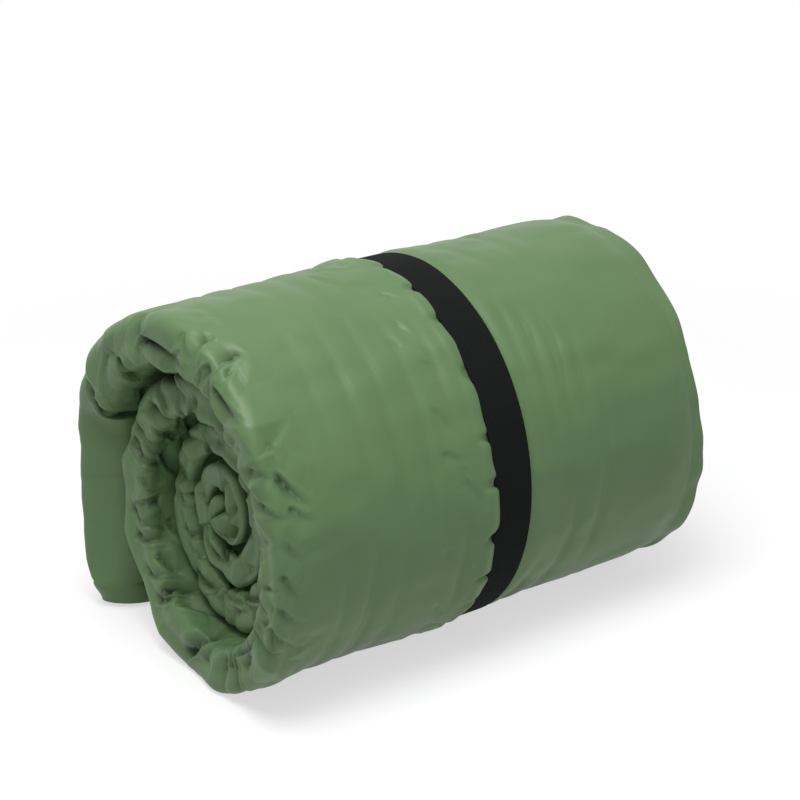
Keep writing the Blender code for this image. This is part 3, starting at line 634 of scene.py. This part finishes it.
# Inside the roll only the folded end and the open edges show, and the rest has large cells.
HIDDEN_TURN = 1.12
HIDDEN_FOLD_REGION = 0.0292
last_row, last_column = len(s) - 1, len(w) - 1
hidden_row = int(np.searchsorted(turn_of, HIDDEN_TURN))
inner_hem, outer_hem = column_at(HEM_REGION - HALF_WIDTH), column_at(HALF_WIDTH - HEM_REGION)
inner_gap, outer_gap = column_at(-FOLD_REGION), column_at(FOLD_REGION)
inner_fold, outer_fold = column_at(-HIDDEN_FOLD_REGION), column_at(HIDDEN_FOLD_REGION)
shown, hidden = (0, hidden_row), (hidden_row, last_row)
mat_outer_sheet = mat_shell(
    "mat_outer_sheet", outer_face, outer_back,
    [
        (shown, (0, inner_gap), 8, 1), (shown, (inner_gap, outer_gap), 1, 1),
        (shown, (outer_gap, last_column), 2, 1),
        (hidden, (0, inner_hem), 6, 1), (hidden, (inner_hem, inner_fold), 12, 3),
        (hidden, (inner_fold, outer_fold), 1, 1), (hidden, (outer_fold, outer_hem), 12, 3),
        (hidden, (outer_hem, last_column), 4, 1),
    ],
    [((0, last_row), (0, last_column), 8, 4)],
)
mat_inner_sheet = mat_shell(
    "mat_inner_sheet", inner_face, inner_back,
    [
        ((0, last_row), (0, inner_hem), 4, 1), ((0, last_row), (inner_hem, outer_hem), 12, 3),
        ((0, last_row), (outer_hem, last_column), 4, 1),
    ],
    [((0, last_row), (0, last_column), 16, 6)],
)


def linear(hex_colour):
    """An sRGB hex colour as the linear colour that a shader takes."""
    channels = [int(hex_colour[i:i + 2], 16) / 255.0 for i in (1, 3, 5)]
    return [c / 12.92 if c <= 0.04045 else ((c + 0.055) / 1.055) ** 2.4 for c in channels] + [1.0]


def add_node(material, kind, settings=None, **inputs):
    """A node, new or already there, with its settings, and each input a value or a (node, output) link."""
    nodes = material.node_tree.nodes
    node = nodes.get(kind) or nodes.new(kind)
    for key, value in (settings or {}).items():
        setattr(node, key, value)
    for key, value in inputs.items():
        socket = node.inputs[int(key[1:])] if key[0] == "_" else node.inputs[key.replace("_", " ")]
        if isinstance(value, tuple) and isinstance(value[0], bpy.types.Node):
            material.node_tree.links.new(value[0].outputs[value[1]], socket)
        else:
            socket.default_value = value
    return node


def new_material(name):
    material = bpy.data.materials.new(name)
    material.use_nodes = True
    return material


# Woven polyester with a polyurethane coating. The plain weave is too fine to see, so the face is an
# even satin. Its colour varies a little where the coating is thicker, and fine cockles 2 mm wide show
# the weave's tension.
COATING_PATCH = 0.0714
COCKLE = 0.00238
coated_polyester = new_material("coated_polyester")
measures = add_node(coated_polyester, "ShaderNodeUVMap", {"uv_map": "mat_measures"})
patches = add_node(
    coated_polyester, "ShaderNodeTexNoise", Vector=(measures, "UV"), Scale=1.0 / COATING_PATCH, Detail=3.0
)
tint = add_node(
    coated_polyester, "ShaderNodeMix", {"data_type": "RGBA"},
    Factor=(patches, "Fac"), _6=linear("#496141"), _7=linear("#546c48"),
)
# A deep crease sends little light back, so the colour is painted darker along its line: painted shade.
depth_of = add_node(coated_polyester, "ShaderNodeAttribute", {"attribute_name": "crease_depth"})
painted_crease_shade = add_node(
    coated_polyester, "ShaderNodeMapRange", Value=(depth_of, "Fac"),
    From_Min=0.0006, From_Max=0.0030, To_Min=0.0, To_Max=0.85,
)
crease_shaded_tint = add_node(
    coated_polyester, "ShaderNodeMix", {"data_type": "RGBA"},
    Factor=(painted_crease_shade, "Result"), _6=(tint, 2), _7=linear("#1c2a18"),
)
grain = add_node(
    coated_polyester, "ShaderNodeTexNoise", Vector=(measures, "UV"), Scale=1.0 / COCKLE, Detail=4.0
)
cockle = add_node(coated_polyester, "ShaderNodeBump", Strength=0.25, Distance=0.0005, Height=(grain, "Fac"))
add_node(
    coated_polyester, "Principled BSDF", Base_Color=(crease_shaded_tint, 2), Normal=(cockle, "Normal"),
    Roughness=0.44, Specular_IOR_Level=0.20,
    Sheen_Weight=0.10, Sheen_Roughness=0.4, Sheen_Tint=linear("#9cb58a"),
)

for piece, nodes in ((mat_outer_sheet, ("outer_cover", "foam_core")), (mat_inner_sheet, ("inner_cover",))):
    piece.data.materials.append(coated_polyester)
    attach(piece, "mat")
    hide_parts(*nodes)

# The strap. A strip of black woven elastic, 27 mm wide, drawn tight round the roll. Its ends overlap by
# 40 mm on the flap's back. It is woven with rubber cords along it and a weft across it.
JOIN_LENGTH = 0.0400
STRIP_STEP = 0.0022
CORD_PITCH = 0.0022
CORD_RISE = 0.00012
RIM_ROUND = 0.0007
BEARINGS = 2880
# The strip follows the outline of the mat beneath it, bridging every hollow, as a taut strip does.
wrapped = (turn_of[:, None] < 1.02) & (np.abs(path_x - STRAP_CENTRE) < STRAP_WIDTH / 2.0) & (W > 0.02)
outline = outer_face[wrapped][:, 1:]
bearing = np.linspace(0.0, math.tau, BEARINGS, endpoint=False)
ways = np.stack((np.cos(bearing), np.sin(bearing)), -1)
held = outline[np.argmax(outline @ ways.T, axis=0)] + ways * (STRAP_CLEARANCE + STRAP_THICKNESS / 2.0)
held[:, 1] = np.maximum(held[:, 1], STRAP_THICKNESS / 2.0 + 0.0001)
chord = np.linalg.norm(np.roll(held, -1, axis=0) - held, axis=1)
travelled = np.concatenate(([0.0], np.cumsum(chord)))
closed_loop = np.vstack((held, held[:1]))
loop_length = travelled[-1]
# The strip starts where the solids have its stitching, on the flap's side.
stitch_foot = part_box("strap_stitching")[0][2]
flap_side = np.nonzero((held[:, 0] > 0.5 * held[:, 0].max()) & (held[:, 1] > stitch_foot - 0.003))[0]
strip_start = travelled[flap_side[np.argmin(held[flap_side, 1])]]


def on_loop(distance):
    """The place (y, z) so far along the loop from where the strip starts."""
    at = (strip_start + distance) % loop_length
    return np.stack([np.interp(at, travelled, closed_loop[:, k]) for k in (0, 1)], -1)


def on_strip(distance, rise, x):
    """A point of the strip: so far along it, above its middle and across it."""
    here, run = on_loop(distance), on_loop(distance + 0.004) - on_loop(distance - 0.004)
    run /= np.linalg.norm(run, axis=-1, keepdims=True)
    # The last stretch lies on the first.
    rise = rise + (STRAP_THICKNESS + 0.0001) * smooth_step((distance - loop_length + 0.008) / 0.008)
    spot = here + np.stack((run[..., 1], -run[..., 0]), -1) * rise[..., None]
    return np.stack((x + ROLL_SHIFT[0], spot[..., 0], spot[..., 1]), -1)


across = np.linspace(-STRAP_WIDTH / 2.0, STRAP_WIDTH / 2.0, 61)
to_rim = np.clip((np.abs(across) - STRAP_WIDTH / 2.0 + RIM_ROUND) / RIM_ROUND, 0.0, 1.0)
half_thick = STRAP_THICKNESS / 2.0 * np.sqrt(1.0 - 0.96 * to_rim ** 2)
upper = half_thick - CORD_RISE * (0.5 - 0.5 * np.cos(math.tau * across / CORD_PITCH))
profile_x = np.concatenate((across, across[-2:0:-4]))
profile_rise = np.concatenate((upper, -half_thick[-2:0:-4]))
distances = np.arange(0.0, loop_length + JOIN_LENGTH, STRIP_STEP)
D, X = np.meshgrid(distances, profile_x, indexing="ij")
strip_points = on_strip(D, np.broadcast_to(profile_rise, D.shape), X + STRAP_CENTRE)
count, ring = D.shape
index = np.arange(count * ring).reshape(count, ring)
index = np.hstack((index, index[:, :1]))
quads = np.stack((index[:-1, :-1], index[:-1, 1:], index[1:, 1:], index[1:, :-1]), -1).reshape(-1, 4).tolist()
strap_mesh = bpy.data.meshes.new("strap_elastic")
strap_mesh.from_pydata(
    strip_points.reshape(-1, 3).tolist(), [], quads + [index[0, :-1][::-1].tolist(), index[-1, :-1].tolist()]
)
layer = strap_mesh.uv_layers.new(name="strap_measures")
strip_measures = np.stack((D, X), -1).reshape(-1, 2)
corner_of = np.zeros(len(strap_mesh.loops), int)
strap_mesh.loops.foreach_get("vertex_index", corner_of)
layer.data.foreach_set("uv", strip_measures[corner_of].ravel())
strap_mesh.shade_smooth()
strap_elastic = add_object("strap_elastic", strap_mesh)

# Polyester-covered rubber, woven: matt and near black, with a weft rib every 1.1 mm across it. The
# real rib is nearer 0.6 mm, which is too fine to show.
WEFT_PITCH = 0.0011
LINT = 0.00111
woven_elastic = new_material("woven_elastic")
measures = add_node(woven_elastic, "ShaderNodeUVMap", {"uv_map": "strap_measures"})
# A wave texture repeats every tau / 20 at a scale of 1.
weft = add_node(
    woven_elastic, "ShaderNodeTexWave", {"bands_direction": "X", "wave_profile": "SIN"},
    Vector=(measures, "UV"), Scale=math.tau / 20.0 / WEFT_PITCH, Distortion=0.6, Detail=1.0, Detail_Scale=1.5,
)
fuzz = add_node(woven_elastic, "ShaderNodeTexNoise", Vector=(measures, "UV"), Scale=1.0 / LINT, Detail=3.0)
tint = add_node(
    woven_elastic, "ShaderNodeMix", {"data_type": "RGBA"},
    Factor=(fuzz, "Fac"), _6=linear("#070908"), _7=linear("#131714"),
)
ribs = add_node(woven_elastic, "ShaderNodeBump", Strength=0.6, Distance=0.00025, Height=(weft, "Fac"))
lint = add_node(
    woven_elastic, "ShaderNodeBump", Strength=0.35, Distance=0.0002,
    Height=(fuzz, "Fac"), Normal=(ribs, "Normal"),
)
add_node(
    woven_elastic, "Principled BSDF", Base_Color=(tint, 2), Normal=(lint, "Normal"),
    Roughness=0.80, Specular_IOR_Level=0.07,
)
strap_elastic.data.materials.append(woven_elastic)
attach(strap_elastic, "strap")
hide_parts("strap_band")

# The stitching that closes the strap: one black bonded thread, sewn to and fro across the overlap in
# seven zigzags, each stitch pulled down into the elastic at its ends.
THREAD_RADIUS = 0.00032
THREAD_MARGIN = 0.0030
THREAD_ZIGZAGS = 7
STITCH_LENGTH = 0.0030
STITCH_SUNK = 0.00025
STITCH_RISE = 0.00055
sewn_start, sewn_length = loop_length + THREAD_MARGIN, JOIN_LENGTH - 2.0 * THREAD_MARGIN
sewn_half = STRAP_WIDTH / 2.0 - THREAD_MARGIN
leg = math.hypot(2.0 * sewn_half, sewn_length / (2.0 * THREAD_ZIGZAGS))
samples = np.linspace(0.0, 2.0 * THREAD_ZIGZAGS, 2 * THREAD_ZIGZAGS * 48 + 1)
swing = np.abs((samples % 2.0) - 1.0) * 2.0 - 1.0
stitch_phase = samples * round(leg / STITCH_LENGTH)
arch = np.abs(np.sin(math.pi * stitch_phase)) ** 0.6
thread_rise = STRAP_THICKNESS / 2.0 - STITCH_SUNK + STITCH_RISE * arch
thread_line = on_strip(
    sewn_start + sewn_length * samples / (2.0 * THREAD_ZIGZAGS), thread_rise, STRAP_CENTRE + sewn_half * swing
)
thread_curve = bpy.data.curves.new("strap_thread", "CURVE")
thread_curve.dimensions = "3D"
thread_curve.bevel_depth = THREAD_RADIUS
thread_curve.bevel_resolution = 2
thread_curve.use_fill_caps = True
spline = thread_curve.splines.new("POLY")
spline.points.add(len(thread_line) - 1)
spline.points.foreach_set("co", np.hstack((thread_line, np.ones((len(thread_line), 1)))).ravel())
strap_thread = add_object("strap_thread", thread_curve)

# Bonded nylon thread: a smooth twist with a slight shine, a shade paler than the elastic.
TWIST = 0.000625
bonded_thread = new_material("bonded_thread")
place_of = add_node(bonded_thread, "ShaderNodeTexCoord")
twist = add_node(
    bonded_thread, "ShaderNodeTexNoise", Vector=(place_of, "Object"), Scale=1.0 / TWIST, Detail=2.0
)
tint = add_node(
    bonded_thread, "ShaderNodeMix", {"data_type": "RGBA"},
    Factor=(twist, "Fac"), _6=linear("#161917"), _7=linear("#30342f"),
)
add_node(bonded_thread, "Principled BSDF", Base_Color=(tint, 2), Roughness=0.45, Specular_IOR_Level=0.5)
strap_thread.data.materials.append(bonded_thread)
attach(strap_thread, "strap")
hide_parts("strap_stitching")

# The valve's body: moulded black plastic. A lens-shaped boat is welded between the sheets, and the stem
# stands out of the open edge with a collar at its root and a stepped bore.
BORE_RADIUS = 0.0036
MOUTH_RADIUS = 0.0042
STEM_RADIUS = 0.0051
STEM_LENGTH = 0.0130
COLLAR_RADIUS = 0.0066
BOSS_RADIUS = 0.0046
BOSS_LENGTH = 0.8 * BOAT_LENGTH
VALVE_LIFT = 0.0040
RING_SECTION = 0.0007
TURNED_SIDES = 72
BOAT_SIDES = 48
RIB_FADE = 0.0008
seat = Vector(valve_seat)
stem_rim = collar_end + STEM_LENGTH
mouth = stem_rim - VALVE_LIFT - 2.0 * RING_SECTION


def eased(outline, radius):
    """The outline with each inner corner rounded off by up to that radius."""
    eased_line = [Vector(outline[0])]
    for before, corner, after in zip(outline[:-2], outline[1:-1], outline[2:]):
        before, corner, after = Vector(before), Vector(corner), Vector(after)
        cut_in = min(radius, 0.45 * (corner - before).length)
        cut_out = min(radius, 0.45 * (after - corner).length)
        first = corner + (before - corner).normalized() * cut_in
        last = corner + (after - corner).normalized() * cut_out
        for t in (0.0, 0.25, 0.5, 0.75, 1.0):
            eased_line.append(first * (1 - t) ** 2 + corner * 2 * t * (1 - t) + last * t ** 2)
    return eased_line + [Vector(outline[-1])]


def join_rings(bm, rings):
    """Faces between each ring of points and the next, where a ring may be a single point."""
    for one, two in zip(rings, rings[1:]):
        sides = max(len(one), len(two))
        for k in range(sides):
            m = (k + 1) % sides
            around = [one[k % len(one)], one[m % len(one)], two[m % len(two)], two[k % len(two)]]
            bm.faces.new(list(dict.fromkeys(around)))


def finished(name, bm):
    """The mesh as an object, smooth but for flat ends with many corners."""
    bmesh.ops.recalc_face_normals(bm, faces=bm.faces)
    for face in bm.faces:
        face.smooth = len(face.verts) <= 4
    mesh = bpy.data.meshes.new(name)
    bm.to_mesh(mesh)
    bm.free()
    return add_object(name, mesh)


def turned(name, outline, radius, ribs=0, rib_height=0.0, rib_from=0.0, rib_to=0.0):
    """A solid turned about the valve's axis from (x, radius) pairs, with grip ribs on a stretch."""
    bm = bmesh.new()
    widest = max(r for _, r in outline)
    rings = []
    for x, r in eased(outline, radius):
        centre = seat + Vector((x, 0.0, 0.0))
        if r < 1e-6:
            rings.append([bm.verts.new(centre)])
            continue
        fade = min(1.0, max(0.0, (x - rib_from) / RIB_FADE)) * min(1.0, max(0.0, (rib_to - x) / RIB_FADE))
        gripped = fade if r > 0.9 * widest else 0.0
        rings.append([])
        for k in range(TURNED_SIDES):
            a = math.tau * k / TURNED_SIDES
            rise = rib_height * gripped * (0.5 + 0.5 * math.cos(ribs * a)) ** 1.5
            rings[-1].append(bm.verts.new(centre + Vector((0.0, math.cos(a), math.sin(a))) * (r + rise)))
    closed_profile = len(rings[0]) > 1 and len(rings[-1]) > 1
    join_rings(bm, rings + rings[:1] if closed_profile else rings)
    return finished(name, bm)


valve_stem = turned("valve_stem", [
    (-BOSS_LENGTH, BORE_RADIUS), (-BOSS_LENGTH, BOSS_RADIUS), (VALVE_CLEARANCE, BOSS_RADIUS),
    (VALVE_CLEARANCE, COLLAR_RADIUS), (collar_end, COLLAR_RADIUS), (collar_end, STEM_RADIUS),
    (stem_rim, STEM_RADIUS), (stem_rim, MOUTH_RADIUS), (mouth, MOUTH_RADIUS), (mouth, BORE_RADIUS),
    (0.001 - BOSS_LENGTH, BORE_RADIUS),
], 0.0004)

# The boat's outline is two arcs, tilted with the flap's hem. Along it stand sealing ribs: each pair is a
# place along the boat and the share of its full size there.
BOAT_RIBS = (
    (-BOAT_LENGTH, 0.86), (-0.0105, 0.97), (-0.0085, 0.92), (-0.0065, 0.97), (-0.0045, 0.92),
    (-0.0025, 0.97), (-0.0008, 0.97), (0.0, 0.90),
)
hem_tilt = Matrix.Rotation(-math.radians(FLAP_TUCK_DEGREES), 3, "X")
boat_mesh = bmesh.new()
boat_rings = []
for x, share in BOAT_RIBS:
    boat_rings.append([])
    for k in range(BOAT_SIDES):
        a = math.tau * k / BOAT_SIDES
        wide = BOAT_HALF_WIDTH * math.cos(a)
        high = math.copysign(abs(math.sin(a)) ** 1.25, math.sin(a)) * BOAT_HALF_HEIGHT
        boat_rings[-1].append(boat_mesh.verts.new(seat + hem_tilt @ Vector((x, share * high, share * wide))))
join_rings(boat_mesh, boat_rings)
boat_mesh.faces.new(boat_rings[0])
boat_mesh.faces.new(boat_rings[-1])
valve_boat = finished("valve_boat", boat_mesh)

# Injection-moulded polypropylene: black, a fine sparked texture from the mould, a soft shine.
SPARK_GRAIN = 0.000714
moulded_plastic = new_material("moulded_black_polypropylene")
place_of = add_node(moulded_plastic, "ShaderNodeTexCoord")
speckle = add_node(
    moulded_plastic, "ShaderNodeTexNoise", Vector=(place_of, "Object"), Scale=1.0 / SPARK_GRAIN, Detail=3.0
)
tint = add_node(
    moulded_plastic, "ShaderNodeMix", {"data_type": "RGBA"},
    Factor=(speckle, "Fac"), _6=linear("#141516"), _7=linear("#222425"),
)
gloss = add_node(moulded_plastic, "ShaderNodeMapRange", Value=(speckle, "Fac"), To_Min=0.36, To_Max=0.50)
texture = add_node(moulded_plastic, "ShaderNodeBump", Strength=0.3, Distance=0.0001, Height=(speckle, "Fac"))
add_node(
    moulded_plastic, "Principled BSDF", Base_Color=(tint, 2), Roughness=(gloss, "Result"),
    Normal=(texture, "Normal"), Specular_IOR_Level=0.5,
)
for piece in (valve_stem, valve_boat):
    piece.data.materials.append(moulded_plastic)
    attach(piece, "mat")
    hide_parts("valve_body")

# The valve's cap: the same plastic, with 24 grip ribs and a rounded end, screwed out by hand.
CAP_WALL = 0.0012
CAP_RIB = 0.0005
CAP_RIBS = 24
PIN_RADIUS = 0.0014
cap_start, cap_bore = collar_end + VALVE_CLEARANCE, STEM_RADIUS + VALVE_CLEARANCE
cap_roof = stem_rim + VALVE_CLEARANCE
cap_end, pin_hole = cap_roof + CAP_WALL, PIN_RADIUS + VALVE_CLEARANCE
grip_radius = cap_bore + CAP_WALL
valve_cap = turned("valve_cap_shell", [
    (cap_start, cap_bore), (cap_start, grip_radius), (cap_start + 0.0012, grip_radius),
    (cap_start + 0.0020, grip_radius), (cap_end - 0.0024, grip_radius), (cap_end - 0.0016, grip_radius),
    (cap_end, grip_radius - 0.0006), (cap_end, pin_hole), (cap_roof, pin_hole), (cap_roof, cap_bore),
], 0.0004, ribs=CAP_RIBS, rib_height=CAP_RIB, rib_from=cap_start + 0.0006, rib_to=cap_end - 0.0008)
valve_cap.data.materials.append(moulded_plastic)
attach(valve_cap, "cap")
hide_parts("valve_cap")

# The valve's stopper: a turned pin that the cap carries, with a grooved head for the ring inside the
# bore and a round button that holds the cap's end.
PIN_HEAD_RADIUS = 0.0026
PIN_HEAD_LENGTH = 0.0010
STOPPER_FLANGE = 0.0010
ring_x = mouth - 2.0 * RING_SECTION
groove_radius = BORE_RADIUS - 2.0 * RING_SECTION - 2.0 * VALVE_CLEARANCE
head_radius, half_groove = BORE_RADIUS - 2.0 * VALVE_CLEARANCE, RING_SECTION + VALVE_CLEARANCE
head_start, head_end = ring_x - half_groove - STOPPER_FLANGE, ring_x + half_groove + STOPPER_FLANGE
cap_grip, outer_grip = cap_roof - VALVE_CLEARANCE, cap_end + VALVE_CLEARANCE
valve_stopper = turned("valve_stopper_pin", [
    (head_start, 0.0), (head_start, head_radius), (ring_x - half_groove, head_radius),
    (ring_x - half_groove, groove_radius), (ring_x + half_groove, groove_radius),
    (ring_x + half_groove, head_radius), (head_end, head_radius), (head_end, PIN_RADIUS),
    (cap_grip - STOPPER_FLANGE, PIN_RADIUS), (cap_grip - STOPPER_FLANGE, PIN_HEAD_RADIUS),
    (cap_grip, PIN_HEAD_RADIUS), (cap_grip, PIN_RADIUS), (outer_grip, PIN_RADIUS),
    (outer_grip, PIN_HEAD_RADIUS), (outer_grip + PIN_HEAD_LENGTH, PIN_HEAD_RADIUS),
    (outer_grip + PIN_HEAD_LENGTH, 0.0),
], 0.0003)
valve_stopper.data.materials.append(moulded_plastic)
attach(valve_stopper, "valve_stopper")
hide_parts("valve_plunger")

# The stopper's ring: black nitrile rubber in the head's groove, matt with a faint mould bloom.
BLOOM = 0.00143
nitrile_rubber = new_material("nitrile_rubber")
place_of = add_node(nitrile_rubber, "ShaderNodeTexCoord")
bloom = add_node(
    nitrile_rubber, "ShaderNodeTexNoise", Vector=(place_of, "Object"), Scale=1.0 / BLOOM, Detail=3.0
)
tint = add_node(
    nitrile_rubber, "ShaderNodeMix", {"data_type": "RGBA"},
    Factor=(bloom, "Fac"), _6=linear("#111213"), _7=linear("#26282a"),
)
add_node(nitrile_rubber, "Principled BSDF", Base_Color=(tint, 2), Roughness=0.62, Specular_IOR_Level=0.4)
for material_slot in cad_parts["valve_o_ring"].material_slots:
    material_slot.material = nitrile_rubber

# The floor and the light: a white floor under one large soft light, with white all round. Close to the
# roll the floor's own shade and the shadow show, and further out it is plain white.
FLOOR_SIZE = 12.0
SHADOW_REACH = 0.30
WHITE_FROM = 0.75
LEAST_WHITE = 0.62
HORIZON_LIGHT = 0.30
ZENITH_LIGHT = 0.62
LAMP_PLACE = Vector((-0.36, -0.26, 1.38))
LAMP_AIM = Vector((0.0, 0.0, 0.1))
LAMP_SIZE = 0.8
LAMP_WATTS = 25.5


def seen_directly(material):
    """1 where the camera or a glossy surface sees the material, and 0 for the light that it gives."""
    ray = add_node(material, "ShaderNodeLightPath")
    camera_or_gloss = {"_0": (ray, "Is Camera Ray"), "_1": (ray, "Is Glossy Ray")}
    return add_node(material, "ShaderNodeMath", {"operation": "MAXIMUM"}, **camera_or_gloss)


floor_material = new_material("studio_floor")
painted = add_node(floor_material, "Principled BSDF", Base_Color=linear("#e2e4e3"), Roughness=0.9)
spot = add_node(floor_material, "ShaderNodeNewGeometry")
reach = add_node(floor_material, "ShaderNodeVectorMath", {"operation": "LENGTH"}, _0=(spot, "Position"))
away = add_node(
    floor_material, "ShaderNodeMapRange", {"interpolation_type": "SMOOTHSTEP"},
    Value=(reach, "Value"), From_Min=SHADOW_REACH, From_Max=WHITE_FROM, To_Min=LEAST_WHITE, To_Max=1.0,
)
white_share = add_node(
    floor_material, "ShaderNodeMath", {"operation": "MULTIPLY"},
    _0=(away, "Result"), _1=(seen_directly(floor_material), "Value"),
)
plain_white = add_node(floor_material, "ShaderNodeEmission", Strength=1.0)
floor_mix = add_node(
    floor_material, "ShaderNodeMixShader",
    Fac=(white_share, "Value"), _1=(painted, "BSDF"), _2=(plain_white, "Emission"),
)
add_node(floor_material, "Material Output", Surface=(floor_mix, "Shader"))
bpy.ops.mesh.primitive_plane_add(size=FLOOR_SIZE, location=(0.0, 0.0, 0.0))
floor = bpy.context.object
floor.name = "studio_floor"
floor.data.materials.append(floor_material)

world = bpy.data.worlds.new("studio")
bpy.context.scene.world = world
world.use_nodes = True
sky_way = add_node(world, "ShaderNodeTexCoord")
sky_parts = add_node(world, "ShaderNodeSeparateXYZ", _0=(sky_way, "Generated"))
sky_light = add_node(
    world, "ShaderNodeMapRange", Value=(sky_parts, "Z"), From_Min=0.0, From_Max=1.0,
    To_Min=HORIZON_LIGHT, To_Max=ZENITH_LIGHT,
)
sky_strength = add_node(
    world, "ShaderNodeMix", {"data_type": "FLOAT"},
    _0=(seen_directly(world), "Value"), _2=(sky_light, "Result"), _3=1.0,
)
add_node(world, "Background", Color=(1.0, 1.0, 1.0, 1.0), Strength=(sky_strength, 0))

lamp = bpy.data.lights.new("overhead_softbox", "AREA")
lamp.size = LAMP_SIZE
lamp.energy = LAMP_WATTS
softbox = add_object("overhead_softbox", lamp)
softbox.location = LAMP_PLACE
softbox.rotation_euler = (LAMP_AIM - LAMP_PLACE).to_track_quat("-Z", "Y").to_euler()

# The camera stands where the photo was taken from. Its lens is 2120 pixels of the 800 pixel picture long.
CAMERA_AZIMUTH = -36.88
CAMERA_ELEVATION = 21.62
CAMERA_DISTANCE = 1.2579
CAMERA_TARGET = (0.0012, -0.0056, 0.1350)
PHOTO_PIXELS = 800.0
LENS_PIXELS = 2120.0
SENSOR_WIDTH = 36.0
azimuth, elevation = math.radians(CAMERA_AZIMUTH), math.radians(CAMERA_ELEVATION)
back = Vector((
    math.sin(azimuth) * math.cos(elevation), -math.cos(azimuth) * math.cos(elevation), math.sin(elevation)
))
camera_data = bpy.data.cameras.new("camera")
camera_data.lens = SENSOR_WIDTH * LENS_PIXELS / PHOTO_PIXELS
camera = add_object("camera", camera_data)
camera.location = Vector(CAMERA_TARGET) + Vector(ROLL_SHIFT) + back * CAMERA_DISTANCE
camera.rotation_euler = (-back).to_track_quat("-Z", "Y").to_euler()
bpy.context.scene.camera = camera
bpy.context.scene.view_settings.view_transform = "Standard"
